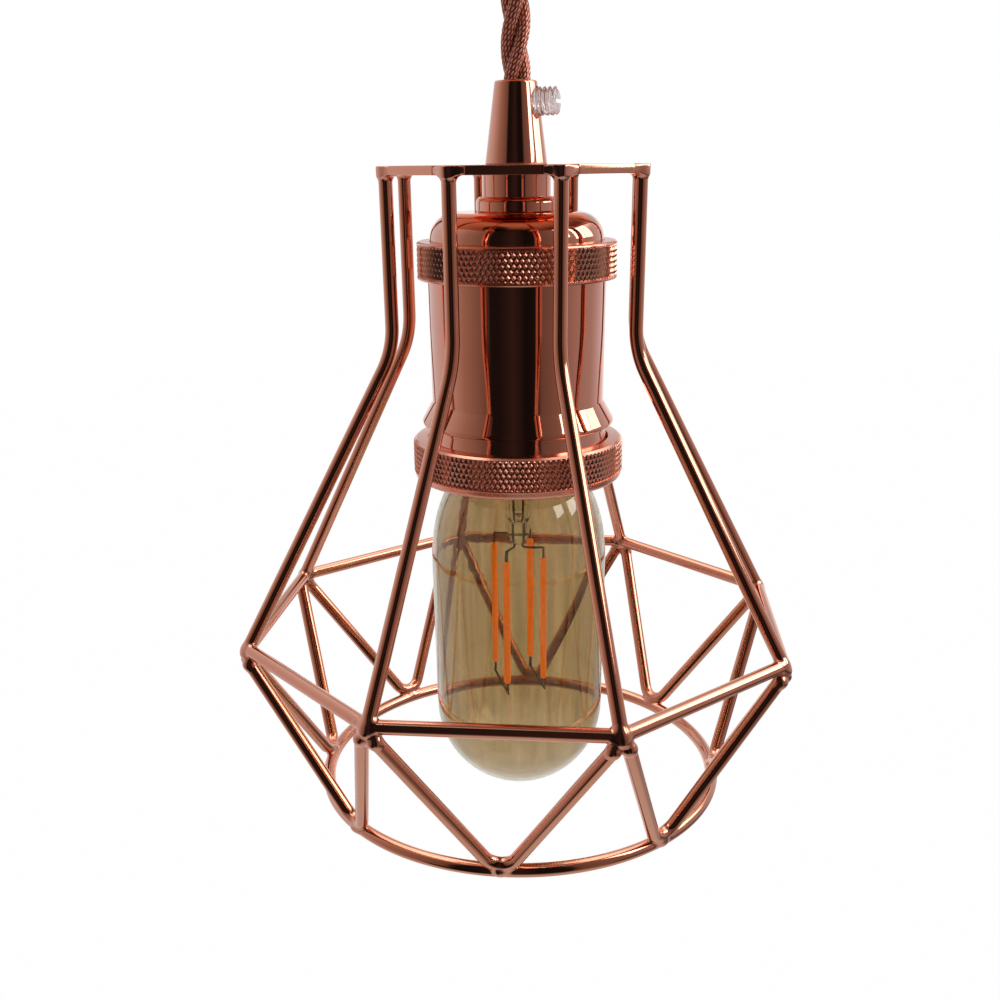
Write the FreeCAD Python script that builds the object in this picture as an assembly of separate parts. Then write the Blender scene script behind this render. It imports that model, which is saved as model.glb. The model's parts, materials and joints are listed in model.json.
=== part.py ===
import FreeCAD, Part
import math
import os

# Caged pendant lamp: an octagonal wire guard hung from a flat plate, which is clamped between a
# conical cord grip and a double-ring E27 lamp holder. The plain cord rises to a ceiling rose.
# Millimetres. Origin at the centre of the rose's ceiling face, +Z up, everything hangs below it.
# Front is -Y. Heights named *_z below the plate are measured from the plate's top face.

V = FreeCAD.Vector
AXIS = V(0, 0, 1)

# Guard
wire_d = 3.2
cage_sides = 8
plate_over = 1.7
plate_thick = 2.0
plate_hole_d = 10.2
leg_top_r = 31.2
leg_lean = 0.4
shoulder_z = -41.7
shoulder_bend_r = 22.0
mid_ring_r = 69.5
mid_ring_z = -113.0
bottom_ring_r = 51.0
bottom_ring_z = -154.9
brace_bend_r = 4.3
brace_tip_rise = 1.7
brace_tip_out = 0.8
brace_top_side = 1.75
brace_top_drop = 3.2
weld_r = 2.4
weld_half = 3.3
weld_drop = 1.1
weld_in = 0.4
leg_weld_h = 1.4

# Cord and cord grips
cord_d = 7.0
cord_visible = 19.0
cord_tail = 6.0
cord_end_z = -13.0
grip_height = 18.5
grip_base_d = 14.5
grip_top_d = 9.8
grip_edge_r = 0.5
grip_thread_depth = 8.0
cord_bore_d = 7.2
grip_screw_d = 6.4
grip_screw_height = 13.9
grip_screw_reach = 10.0
grip_screw_slot_w = 0.9
grip_screw_slot_depth = 1.2
grip_turn = -10.0

# Threaded tubes
nipple_d = 10.0
nipple_bore_d = 7.4
nipple_nut_flats = 14.0
nipple_nut_h = 3.0

# Ceiling rose
rose_d = 80.0
rose_h = 25.0
rose_wall = 1.0
rose_edge_r = 3.0
rose_bracket_w = 16.0
rose_bracket_t = 1.5
rose_bracket_gap = 1.7
rose_screw_z = 7.0
rose_screw_d = 4.0
rose_screw_head_d = 7.0
rose_screw_head_h = 2.4
rose_fixing_hole_d = 4.6
rose_fixing_spacing = 50.0

# Lamp holder, radii and heights below the plate's top face
collar_r = 8.05
collar_bottom_z = -7.1
bead_r = 9.5
bead_bottom_z = -10.3
bead_round = 1.4
dome_top_z = -10.6
dome_r = 20.7
dome_round = 6.2
cap_wall = 0.8
cap_flange_r = 21.9
cap_flange_top_z = -18.8
cap_flange_t = 1.1
upper_ring_r = 23.85
upper_ring_top_z = -17.2
upper_ring_bottom_z = -26.0
ring_lip_t = 1.6
ring_edge = 0.5
ring_top_round = 0.7
ring_rim_w = 1.0
ring_rim_rise = 0.15
body_thread_r = 22.1
body_top_r = 21.35
body_low_r = 20.95
body_bore_r = 20.0
flare_top_z = -55.5
flare_bottom_z = -60.2
flare_r = 23.5
flare_lip = 0.7
neck_r = 22.3
neck_root_r = 21.75
neck_pitch = 2.4
neck_plain_h = 3.8
neck_bore_r = 20.9
core_ledge_z = -52.0
core_ledge_r = 17.0
lower_ring_r = 25.95
lower_ring_top_z = -64.5
lower_ring_bottom_z = -74.4
lower_ring_floor_t = 1.4
lower_ring_mouth_r = 20.7
lower_ring_round = 1.6

# Socket insert
core_r = 19.9
core_top_z = -25.0
core_floor_z = -34.0
core_bore_r = 14.2
sleeve_r = 14.1
sleeve_wall = 0.5
sleeve_bottom_z = -58.0
contact_w = 7.0
contact_t = 0.5
contact_root_x = 9.0
contact_knee_x = 6.5
contact_foot_x = 3.0
terminal_x = 13.0
terminal_screw_d = 3.5
terminal_head_d = 5.6
terminal_head_h = 2.0
terminal_stem = 5.0

# Bulb
contact_z = -39.6
bulb_button_r = 4.7
bulb_button_h = 0.9
insulator_bottom_z = -45.0
insulator_r = 9.7
insulator_edge = 0.4
cap_thread_top_z = -46.2
cap_thread_r = 13.2
cap_thread_root_r = 12.2
cap_thread_pitch = 3.62
cap_thread_turns = 4
cap_skirt_r = 13.3
cap_skirt_bottom_z = -66.0
cap_sheet = 0.4
glass_wall = 0.8
glass_neck_r = 12.85
glass_neck_top_z = -61.9
glass_shoulder_z = -66.2
glass_r = 22.15
glass_low_r = 21.6
glass_wide_z = -97.0
glass_end_z = -158.1
# shoulder of the envelope, as shares of its widening and of its drop
glass_shoulder = [(0.0591, 0.0779), (0.2419, 0.1948), (0.4462, 0.3182), (0.6290, 0.4286),
                  (0.7688, 0.5325), (0.8817, 0.6494), (0.9570, 0.7792), (0.9892, 0.8896)]
stem_r = 3.3
stem_wall = 0.7
stem_pinch_z = -88.5
stem_end_z = -93.0
lead_d = 0.6
lead_side = 1.6
lead_start = 4.1
filament_d = 1.9
filament_l = 32.0
filament_tab_l = 3.2
filament_tab_d = 0.8
filament_circle_r = 7.0
filament_phase = 69.0
filament_top_z = -95.5
filament_step = 1.0

# Stack of levels from the ceiling down
plate_z = -(rose_h + grip_height + cord_visible + grip_height)
wire_r = wire_d / 2.0
plate_across_flats = 2.0 * (leg_top_r + plate_over) * math.cos(math.pi / cage_sides)
shoulder_r = leg_top_r - leg_lean
rose_bracket_l = rose_d - 2.0 * (rose_wall + rose_bracket_gap)
neck_bottom_z = lower_ring_bottom_z + lower_ring_floor_t


def lamp_z(z):
    """Absolute height of a level measured from the plate's top face."""
    return plate_z + z


def polar(r, deg, z):
    """Point at radius r and azimuth deg, counted from -Y towards +X, at lamp level z."""
    a = math.radians(deg)
    return V(r * math.sin(a), -r * math.cos(a), lamp_z(z))


def vertex_deg(i):
    """Azimuth of octagon corner i; corners sit either side of the front."""
    return (i - 0.5) * 360.0 / cage_sides


def revolve(points, z0=0.0):
    """Solid of revolution from a closed outline of (radius, height) pairs."""
    pts = [V(r, 0, z + z0) for r, z in points]
    wire = Part.makePolygon(pts + [pts[0]])
    return Part.Face(wire).revolve(V(0, 0, 0), AXIS, 360)


def arc_points(cr, cz, r, a0, a1, n=8):
    """Points on an arc in the radius-height plane."""
    out = []
    for k in range(n + 1):
        a = math.radians(a0 + (a1 - a0) * k / n)
        out.append((cr + r * math.cos(a), cz + r * math.sin(a)))
    return out


def rounded_path(points, radii):
    """Edges of a polyline whose inner corners are tangent arcs."""
    edges = []
    last = points[0]
    for k in range(1, len(points) - 1):
        a = (points[k - 1] - points[k]).normalize()
        b = (points[k + 1] - points[k]).normalize()
        half = a.getAngle(b) / 2.0
        cut = radii[k - 1] / math.tan(half)
        mid_dir = (a + b).normalize()
        centre = points[k] + mid_dir * (radii[k - 1] / math.sin(half))
        p0 = points[k] + a * cut
        p1 = points[k] + b * cut
        pm = centre - mid_dir * radii[k - 1]
        edges.append(Part.makeLine(last, p0))
        edges.append(Part.Arc(p0, pm, p1).toShape())
        last = p1
    edges.append(Part.makeLine(last, points[-1]))
    return edges


def bent_rod(points, radii, r):
    """Round rod of radius r along a polyline with rounded corners."""
    edges = rounded_path(points, radii)
    path = Part.Wire(edges)
    start = points[0]
    direction = (points[1] - points[0]).normalize()
    profile = Part.Wire(Part.makeCircle(r, start, direction))
    return path.makePipeShell([profile], True, False)


def rod(p0, p1, r):
    """Straight round rod between two points."""
    d = p1 - p0
    return Part.makeCylinder(r, d.Length, p0, d)


def prism(across_flats, sides, h, z, turn):
    """Regular prism standing on level z, turned by turn degrees about Z."""
    r = across_flats / 2.0 / math.cos(math.pi / sides)
    pts = []
    for k in range(sides):
        a = math.radians(turn + 360.0 * k / sides)
        pts.append(V(r * math.cos(a), r * math.sin(a), z))
    face = Part.Face(Part.makePolygon(pts + [pts[0]]))
    return face.extrude(V(0, 0, h))


# Guard pieces

def leg_axis(i):
    """Centre line of leg i: down from the plate, out at the shoulder to the middle ring."""
    deg = vertex_deg(i)
    return [polar(leg_top_r, deg, 0), polar(shoulder_r, deg, shoulder_z), polar(mid_ring_r, deg, mid_ring_z)]


def make_leg(i, ring):
    leg = bent_rod(leg_axis(i), [shoulder_bend_r], wire_r)
    deg = vertex_deg(i)
    # small fillet of braze under the plate
    foot = revolve([(0, 0), (wire_r + 0.9, 0), (wire_r + 0.35, -0.35), (wire_r + 0.1, -leg_weld_h * 0.6),
                    (wire_r - 0.05, -leg_weld_h), (0, -leg_weld_h)])
    foot.translate(polar(leg_top_r, deg, -plate_thick))
    leg = leg.fuse(foot)
    return leg.cut(ring)


def make_plate():
    plate = prism(plate_across_flats, cage_sides, plate_thick, lamp_z(-plate_thick), 0.0)
    plate.rotate(V(0, 0, 0), AXIS, vertex_deg(1) - 90.0)
    plate = plate.cut(Part.makeCylinder(plate_hole_d / 2.0, plate_thick + 2, V(0, 0, lamp_z(-plate_thick - 1))))
    for i in range(1, cage_sides + 1):
        deg = vertex_deg(i)
        top, shoulder = leg_axis(i)[:2]
        run = (shoulder - top).normalize()
        socket = rod(top - run, top + run * (plate_thick + 1), wire_r)
        # the corner outside the leg is ground away flush with it
        corner = Part.makeBox(6, 8, plate_thick + 2, V(0, -4, 0))
        corner.rotate(V(0, 0, 0), AXIS, deg - 90.0)
        corner.translate(polar(leg_top_r, deg, -plate_thick - 1))
        plate = plate.cut(corner).cut(socket)
    return plate


def ring_corners(r, z):
    return [polar(r, vertex_deg(i), z) for i in range(1, cage_sides + 1)]


def barrel(p, direction, r, half, taper):
    """Braze bead: a short barrel centred on p along direction."""
    d = V(direction).normalize()
    marks = [(0, -half), (r * 0.6, -half), (r * 0.92, -half + taper), (r, 0), (r * 0.92, half - taper),
             (r * 0.6, half), (0, half)]
    bead = revolve(marks)
    turn = FreeCAD.Rotation(AXIS, d)
    bead.Placement = FreeCAD.Placement(p, turn)
    return bead


def make_mid_ring():
    """Octagon of one wire, with a braze bead closing each corner."""
    pts = ring_corners(mid_ring_r, mid_ring_z)
    ring = None
    for k in range(cage_sides):
        centre = pts[k] - V(pts[k].x, pts[k].y, 0).normalize() * weld_in - AXIS * weld_drop
        bead = barrel(centre, AXIS, weld_r, weld_half, weld_r * 0.6)
        side = rod(pts[k], pts[(k + 1) % cage_sides], wire_r)
        ring = side.fuse(bead) if ring is None else ring.fuse(side).fuse(bead)
    # upset where the two ends of the wire are butt welded, at the back left
    seam = (pts[5] + pts[4]) * 0.5
    run = (pts[5] - pts[4]).normalize()
    return ring.fuse(Part.makeCylinder(wire_r + 0.25, 1.6, seam - run * 0.8, run))


def tip_deg(i):
    return i * 360.0 / cage_sides


def make_bottom_ring():
    """Round ring with a braze bead under each brace tip and one butt weld."""
    ring = Part.makeTorus(bottom_ring_r, wire_r, V(0, 0, lamp_z(bottom_ring_z)), AXIS)
    ring.rotate(V(0, 0, 0), AXIS, 101.0)
    for i in range(cage_sides):
        a = math.radians(tip_deg(i))
        run = V(math.cos(a), math.sin(a), 0)
        ring = ring.fuse(barrel(polar(bottom_ring_r + 0.1, tip_deg(i), bottom_ring_z + 0.1), run, wire_r + 0.3,
                                2.0 * wire_r, wire_r))
    seam_deg = 22.0
    a = math.radians(seam_deg)
    run = V(math.cos(a), math.sin(a), 0)
    seam = polar(bottom_ring_r, seam_deg, bottom_ring_z)
    return ring.fuse(Part.makeCylinder(wire_r + 0.25, 1.6, seam - run * 0.8, run))


def make_brace(mid_ring, bottom_ring):
    """V wire from one corner down to the bottom ring and up to the next, at the front."""
    i = 0
    a0 = vertex_deg(i)
    a1 = vertex_deg(i + 1)
    side = math.degrees(brace_top_side / mid_ring_r)
    top0 = polar(mid_ring_r - 0.2, a0 + side, mid_ring_z - brace_top_drop)
    top1 = polar(mid_ring_r - 0.2, a1 - side, mid_ring_z - brace_top_drop)
    # the sharp corner of the centre line lies below the rounded tip
    tip = polar(bottom_ring_r + brace_tip_out, tip_deg(i), bottom_ring_z + brace_tip_rise)
    arm = (top0 - tip).normalize()
    down = ((top0 + top1) * 0.5 - tip).normalize()
    half = arm.getAngle(down)
    sharp = tip - down * (brace_bend_r / math.sin(half) - brace_bend_r)
    brace = bent_rod([top0, sharp, top1], [brace_bend_r], wire_r)
    return brace.cut(mid_ring).cut(bottom_ring)


# Cord grips, threaded tubes and the rose

def make_grip(flip):
    """Conical cord grip: threaded foot, bore for the cord, side hole for the clamp screw."""
    r0 = grip_base_d / 2.0
    r1 = grip_top_d / 2.0
    h = grip_height
    b = cord_bore_d / 2.0
    e = grip_edge_r
    t = nipple_d / 2.0
    outline = [(t, 0), (r0 - 0.2, 0), (r0, 0.2), (r1 + (r0 - r1) * 0.03, h - e), (r1 - e * 0.4, h - e * 0.3),
               (r1 - e, h), (b + 0.3, h), (b, h - 0.3), (b, grip_thread_depth), (t, grip_thread_depth)]
    grip = revolve(outline)
    hole = Part.makeCylinder(grip_screw_d / 2.0, r0 + 2, V(0, 0, grip_screw_height), V(1, 0, 0))
    grip = grip.cut(hole)
    grip.rotate(V(0, 0, 0), V(0, 0, 1), grip_turn)
    if flip:
        grip.rotate(V(0, 0, 0), V(1, 0, 0), 180)
        grip.translate(V(0, 0, -rose_h))
    else:
        grip.translate(V(0, 0, plate_z))
    return grip


def make_grip_screw(flip):
    """Slotted nylon screw whose tip presses on the cord."""
    tip = cord_d / 2.0
    length = grip_screw_reach - tip
    body = Part.makeCylinder(grip_screw_d / 2.0, length, V(tip, 0, grip_screw_height), V(1, 0, 0))
    face = Part.makeCylinder(cord_d / 2.0, grip_height, V(0, 0, 0))
    slot = Part.makeBox(grip_screw_slot_depth + 1, grip_screw_d + 2, grip_screw_slot_w,
                        V(grip_screw_reach - grip_screw_slot_depth, -grip_screw_d / 2.0 - 1,
                          grip_screw_height - grip_screw_slot_w / 2.0))
    screw = body.cut(slot).cut(face)
    screw.rotate(V(0, 0, 0), V(0, 0, 1), grip_turn)
    if flip:
        screw.rotate(V(0, 0, 0), V(1, 0, 0), 180)
        screw.translate(V(0, 0, -rose_h))
    else:
        screw.translate(V(0, 0, plate_z))
    return screw


def make_cord():
    """Straight cord, taut between the two grips."""
    top = -rose_h + cord_tail
    bottom = lamp_z(cord_end_z)
    return Part.makeCylinder(cord_d / 2.0, top - bottom, V(0, 0, bottom))


def make_nipple(z0, z1):
    tube = Part.makeCylinder(nipple_d / 2.0, z1 - z0, V(0, 0, z0))
    return tube.cut(Part.makeCylinder(nipple_bore_d / 2.0, z1 - z0 + 2, V(0, 0, z0 - 1)))


def make_nipple_nut(z0):
    nut = prism(nipple_nut_flats, 6, nipple_nut_h, z0, 0.0)
    return nut.cut(Part.makeCylinder(nipple_d / 2.0, nipple_nut_h + 2, V(0, 0, z0 - 1)))


def make_rose_cover():
    """Plain round cup, open towards the ceiling."""
    r = rose_d / 2.0
    w = rose_wall
    e = rose_edge_r
    outer = arc_points(r - e, -rose_h + e, e, -90, 0)
    inner = arc_points(r - e, -rose_h + e, e - w, 0, -90)
    outline = [(plate_hole_d / 2.0, -rose_h)] + outer + [(r, 0), (r - w, 0)] + inner
    outline += [(plate_hole_d / 2.0, -rose_h + w)]
    cup = revolve(outline)
    for s in (1, -1):
        hole = Part.makeCylinder(rose_screw_d / 2.0, 6, V(s * (r - 4), 0, -rose_screw_z), V(s, 0, 0))
        cup = cup.cut(hole)
    return cup


def make_rose_bracket():
    """Strap fixed to the ceiling, with turned-down tapped ends for the cover's side screws."""
    half = rose_bracket_l / 2.0
    w = rose_bracket_w
    t = rose_bracket_t
    drop = rose_screw_z + 4.5
    strap = Part.makeBox(rose_bracket_l, w, t, V(-half, -w / 2.0, -t))
    for s in (1, -1):
        x = half - t if s > 0 else -half
        strap = strap.fuse(Part.makeBox(t, w, drop, V(x, -w / 2.0, -drop)))
    for s in (1, -1):
        tap = Part.makeCylinder(rose_screw_d / 2.0, 8, V(s * (half - 4), 0, -rose_screw_z), V(s, 0, 0))
        fixing = Part.makeCylinder(rose_fixing_hole_d / 2.0, t + 2, V(s * rose_fixing_spacing / 2.0, 0, -t - 1))
        strap = strap.cut(tap).cut(fixing)
    return strap.removeSplitter()


def make_rose_screw(s):
    """Dome-headed screw through the side of the cover into the bracket."""
    r = rose_d / 2.0
    x0 = rose_bracket_l / 2.0 - rose_bracket_t - 1.5
    shank = Part.makeCylinder(rose_screw_d / 2.0, r - x0, V(x0, 0, 0), V(1, 0, 0))
    head = Part.makeCylinder(rose_screw_head_d / 2.0, rose_screw_head_h, V(r, 0, 0), V(1, 0, 0))
    edges = [e for e in head.Edges if abs(e.BoundBox.XMin - r - rose_screw_head_h) < 0.01
             and e.BoundBox.XLength < 0.01]
    head = head.makeFillet(0.9, edges)
    slot = Part.makeBox(1.0, rose_screw_head_d + 2, 0.9, V(r + rose_screw_head_h - 0.8, -rose_screw_head_d / 2.0 - 1, -0.45))
    under = Part.makeCylinder(r, 2 * rose_screw_head_d, V(0, 0, -rose_screw_head_d))
    screw = shank.fuse(head.cut(under)).cut(slot)
    screw.translate(V(0, 0, -rose_screw_z))
    if s < 0:
        screw.rotate(V(0, 0, 0), AXIS, 180)
    return screw


# Lamp holder

def make_holder_cap():
    """Turned collar and bead over a domed cup with a clamping flange."""
    t = nipple_d / 2.0
    w = cap_wall
    rd = dome_round
    cz = dome_top_z - rd
    cr = dome_r - rd
    outer = arc_points(cr, cz, rd, 90, 0, 10)
    inner = arc_points(cr, cz, rd - w, 0, 90, 10)
    outline = [(t, -plate_thick), (collar_r - 0.2, -plate_thick), (collar_r, -plate_thick - 0.2),
               (collar_r, collar_bottom_z)]
    outline += arc_points(bead_r - bead_round, collar_bottom_z - bead_round, bead_round, 90, 0, 6)
    outline += [(bead_r, bead_bottom_z)]
    outline += [(bead_r - 0.2, dome_top_z)]
    outline += outer
    f0 = cap_flange_top_z
    f1 = cap_flange_top_z - cap_flange_t
    outline += [(dome_r, f0), (cap_flange_r, f0), (cap_flange_r, f1), (dome_r - w, f1)]
    outline += inner
    outline += [(t, dome_top_z - w)]
    return revolve(outline, plate_z)


def knurled_ring(r, top, bottom, lip_r, bore_r, lip_at_top, low_round):
    """Knurled clamp ring: plain rims above and below the band, inner lip at one end."""
    e = ring_edge
    rim = ring_rim_w
    rise = ring_rim_rise
    outline = []
    if lip_at_top:
        outline += [(lip_r, top)] + arc_points(r - ring_top_round, top - ring_top_round, ring_top_round, 90, 0, 4)
        outline += [(r, top - rim), (r - rise, top - rim)]
        outline += [(r - rise, bottom + rim), (r, bottom + rim)]
        outline += [(r, bottom + low_round * 0.5), (r - low_round * 0.5, bottom)]
        outline += [(bore_r, bottom), (bore_r, top - ring_lip_t), (lip_r, top - ring_lip_t)]
    else:
        outline += [(bore_r, top), (r - 2 * e, top), (r - rise, top - e)]
        outline += [(r, top - rim), (r, bottom + 2.4 * rim), (r - rise, bottom + 1.6 * rim)]
        outline += [(r - low_round * 0.4, bottom + low_round * 0.5), (r - low_round, bottom)]
        outline += [(lip_r + 0.3, bottom), (lip_r, bottom + 0.3), (lip_r, neck_bottom_z), (bore_r, neck_bottom_z)]
    return revolve(outline, plate_z)


def make_upper_ring():
    return knurled_ring(upper_ring_r, upper_ring_top_z, upper_ring_bottom_z, dome_r + 0.05,
                        body_thread_r + 0.05, True, 0.6)


def make_lower_ring():
    return knurled_ring(lower_ring_r, lower_ring_top_z, lower_ring_bottom_z, lower_ring_mouth_r,
                        neck_r + 0.05, False, lower_ring_round)


def make_body():
    """Drawn shell: threaded top, tapering barrel, flare and threaded neck for the lower ring."""
    top = cap_flange_top_z - cap_flange_t
    outline = [(body_bore_r, top), (body_thread_r, top), (body_thread_r, upper_ring_bottom_z + 0.1),
               (body_top_r, upper_ring_bottom_z + 0.1), (body_top_r, upper_ring_bottom_z - 1.5),
               (body_low_r, flare_top_z)]
    outline += [(flare_r, flare_bottom_z), (flare_r + 0.05, flare_bottom_z - flare_lip * 0.5),
                (flare_r - 0.3, flare_bottom_z - flare_lip)]
    z = flare_bottom_z - flare_lip - 0.2
    outline += [(neck_root_r, z)]
    # plain under the flare, then the rolled thread as rounded crests inside the ring
    z -= neck_plain_h
    while z - neck_pitch > neck_bottom_z:
        outline += [(neck_root_r, z), (neck_r - 0.12, z - neck_pitch * 0.3), (neck_r, z - neck_pitch * 0.45),
                    (neck_r - 0.12, z - neck_pitch * 0.6), (neck_root_r, z - neck_pitch * 0.9)]
        z -= neck_pitch
    outline += [(neck_root_r, neck_bottom_z), (neck_bore_r, neck_bottom_z), (neck_bore_r, flare_bottom_z),
                (core_ledge_r + 1.2, core_ledge_z - 1.2), (core_ledge_r, core_ledge_z - 1.0),
                (core_ledge_r, core_ledge_z), (body_bore_r, core_ledge_z)]
    return revolve(outline, plate_z)


def make_core():
    """Porcelain insert with a deep round bore, resting on the body's ledge."""
    outline = [(0, core_top_z), (core_r - 0.8, core_top_z), (core_r, core_top_z - 0.8), (core_r, core_ledge_z),
               (core_bore_r, core_ledge_z), (core_bore_r, core_floor_z), (0, core_floor_z)]
    core = revolve(outline, plate_z)
    for s in (1, -1):
        core = core.cut(Part.makeCylinder(terminal_screw_d / 2.0, terminal_stem,
                                          V(s * terminal_x, 0, lamp_z(core_top_z - terminal_stem))))
    return core


def make_terminal(s):
    """Terminal screw in the top of the insert."""
    x = s * terminal_x
    shank = Part.makeCylinder(terminal_screw_d / 2.0, terminal_stem, V(x, 0, lamp_z(core_top_z - terminal_stem)))
    head = Part.makeCylinder(terminal_head_d / 2.0, terminal_head_h, V(x, 0, lamp_z(core_top_z)))
    slot = Part.makeBox(0.8, terminal_head_d + 2, 0.9,
                        V(x - 0.4, -terminal_head_d / 2.0 - 1, lamp_z(core_top_z + terminal_head_h - 0.9)))
    return shank.fuse(head).cut(slot)


def make_sleeve():
    """Screw shell of the socket."""
    outline = [(sleeve_r - sleeve_wall, core_floor_z), (sleeve_r, core_floor_z), (sleeve_r, core_ledge_z - 2),
               (sleeve_r, sleeve_bottom_z), (sleeve_r - sleeve_wall, sleeve_bottom_z)]
    return revolve(outline, plate_z)


def make_centre_contact():
    """Sprung strip under the floor of the insert, bearing on the bulb's contact."""
    w = contact_w
    t = contact_t
    z0 = lamp_z(core_floor_z)
    z1 = lamp_z(contact_z)
    root = contact_root_x
    knee = contact_knee_x
    foot = contact_foot_x
    pts = [V(-root, 0, z0), V(-foot, 0, z0), V(knee, 0, z1 + t + 0.9), V(foot, 0, z1), V(-foot, 0, z1),
           V(-foot, 0, z1 + t), V(foot, 0, z1 + t), V(knee - 1.6, 0, z1 + t + 0.9), V(-foot - 0.4, 0, z0 - t),
           V(-root, 0, z0 - t)]
    face = Part.Face(Part.makePolygon(pts + [pts[0]]))
    strip = face.extrude(V(0, w, 0))
    strip.translate(V(0, -w / 2.0, 0))
    return strip


# Bulb

def make_bulb_cap():
    """Screw cap of thin sheet with four rolled turns and a plain skirt round the glass."""
    def outline_side(offset):
        pts = []
        z = cap_thread_top_z
        pts.append((cap_thread_root_r - offset, z))
        for k in range(cap_thread_turns):
            zz = z - k * cap_thread_pitch
            for f, r in ((0.2, 0.0), (0.4, 0.75), (0.5, 1.0), (0.6, 1.0), (0.7, 0.75), (0.9, 0.0)):
                pts.append((cap_thread_root_r + (cap_thread_r - cap_thread_root_r) * r - offset,
                            zz - f * cap_thread_pitch))
        return pts
    outer = outline_side(0.0)
    inner = outline_side(cap_sheet)
    inner.reverse()
    z_end = cap_thread_top_z - cap_thread_turns * cap_thread_pitch
    outer += [(cap_thread_root_r, z_end), (cap_skirt_r, z_end - 0.9), (cap_skirt_r, cap_skirt_bottom_z),
              (cap_skirt_r - 0.45, cap_skirt_bottom_z), (cap_skirt_r - 0.45, z_end - 1.2),
              (cap_thread_root_r - cap_sheet, z_end - 0.3)]
    top = [(insulator_r, insulator_bottom_z - insulator_edge), (insulator_r, insulator_bottom_z),
           (cap_thread_root_r - 0.9, insulator_bottom_z)]
    return revolve(outer + inner[:-1] + [(cap_thread_root_r - cap_sheet, cap_thread_top_z)] + top, plate_z)


def make_bulb_insulator():
    """Glass insulator between the screw cap and the centre contact."""
    z = contact_z - bulb_button_h
    low = insulator_bottom_z - insulator_edge
    outline = [(0, z), (bulb_button_r + 0.6, z), (insulator_r - insulator_edge, insulator_bottom_z + 0.6),
               (insulator_r, insulator_bottom_z), (insulator_r, low), (0, low)]
    return revolve(outline, plate_z)


def make_bulb_contact():
    outline = [(0, contact_z), (bulb_button_r - 1.0, contact_z), (bulb_button_r, contact_z - 0.5),
               (bulb_button_r, contact_z - bulb_button_h), (0, contact_z - bulb_button_h)]
    return revolve(outline, plate_z)


def glass_side(offset):
    """Edges of the envelope's outline, neck to rounded end, inset by offset."""
    widening = glass_r - glass_neck_r
    drop = glass_wide_z - glass_shoulder_z
    marks = [(glass_neck_r + a * widening, glass_shoulder_z + b * drop) for a, b in glass_shoulder]
    marks = [(glass_neck_r, glass_shoulder_z)] + marks + [(glass_r, glass_wide_z)]
    pts = [V(r - offset, 0, z) for r, z in marks]
    end_z = glass_end_z + glass_low_r
    low = V(glass_low_r - offset, 0, end_z)
    curve = Part.BSplineCurve()
    curve.interpolate(Points=pts, InitialTangent=V(0, 0, -1), FinalTangent=V(0, 0, -1))
    r = glass_low_r - offset
    mid = V(r * math.sin(math.pi / 4), 0, end_z - r * math.cos(math.pi / 4))
    return [Part.makeLine(V(glass_neck_r - offset, 0, glass_neck_top_z), pts[0]), curve.toShape(),
            Part.makeLine(pts[-1], low), Part.Arc(low, mid, V(0, 0, end_z - r)).toShape()]


def make_bulb_glass():
    """Tubular blown envelope with a rounded end."""
    outer = glass_side(0.0)
    inner = glass_side(glass_wall)
    z0 = glass_neck_top_z
    top = Part.makeLine(V(glass_neck_r, 0, z0), V(glass_neck_r - glass_wall, 0, z0))
    low = Part.makeLine(V(0, 0, glass_end_z), V(0, 0, glass_end_z + glass_wall))
    face = Part.Face(Part.Wire(Part.__sortEdges__(outer + inner + [top, low])))
    glass = face.revolve(V(0, 0, 0), AXIS, 360)
    glass.translate(V(0, 0, plate_z))
    return glass


def lead_points(s):
    """Lead wire: down inside the stem, out of the pinch, across to its filament."""
    tab = filament_top(2 if s < 0 else 4)
    low = lamp_z(stem_end_z - 1.2)
    return [V(s * lead_side, 0, lamp_z(glass_neck_top_z - lead_start)), V(s * lead_side * 0.6, 0, low), V(tab.x, tab.y, tab.z)]


def make_lead(s):
    pts = lead_points(s)
    return bent_rod(pts, [1.0], lead_d / 2.0)


def make_stem(cutters):
    """Glass stem: flare fused to the neck, tube, and the pinch that holds the leads."""
    n = glass_neck_r - glass_wall
    r = stem_r
    w = stem_wall
    top = glass_neck_top_z
    outline = [(n, top - 1.5), (n, top - 2.5), (n - 2.5, top - 3.3), (r + 1.6, top - 5.1), (r + 0.2, top - 8.1),
               (r, top - 12.1), (r, stem_pinch_z), (r * 0.86, stem_pinch_z - 1.6), (r * 0.62, stem_end_z + 0.6),
               (r * 0.4, stem_end_z), (0, stem_end_z)]
    outline += [(0, stem_pinch_z + 0.6), (r - w - 0.6, stem_pinch_z + 1.2), (r - w, stem_pinch_z + 2.6),
                (r - w, top - 12.1), (r - w + 0.3, top - 7.7), (r + 1.0, top - 4.5), (n - 2.8, top - 2.3)]
    stem = revolve(outline, plate_z)
    for c in cutters:
        stem = stem.cut(c)
    return stem


def filament_axis(k):
    """Plan position of filament k, 1 to 4 round the stem."""
    a = math.radians(filament_phase + {4: 0, 3: 90, 1: 180, 2: 270}[k])
    return filament_circle_r * math.sin(a), -filament_circle_r * math.cos(a)


def filament_span(k):
    """Top and bottom of the coated length of filament k."""
    z = filament_top_z + (filament_step if k in (1, 3) else -filament_step)
    return z, z - filament_l


def filament_top(k):
    x, y = filament_axis(k)
    return V(x, y, lamp_z(filament_span(k)[0] + filament_tab_l))


def filament_bottom(k):
    x, y = filament_axis(k)
    return V(x, y, lamp_z(filament_span(k)[1] - filament_tab_l))


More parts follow.
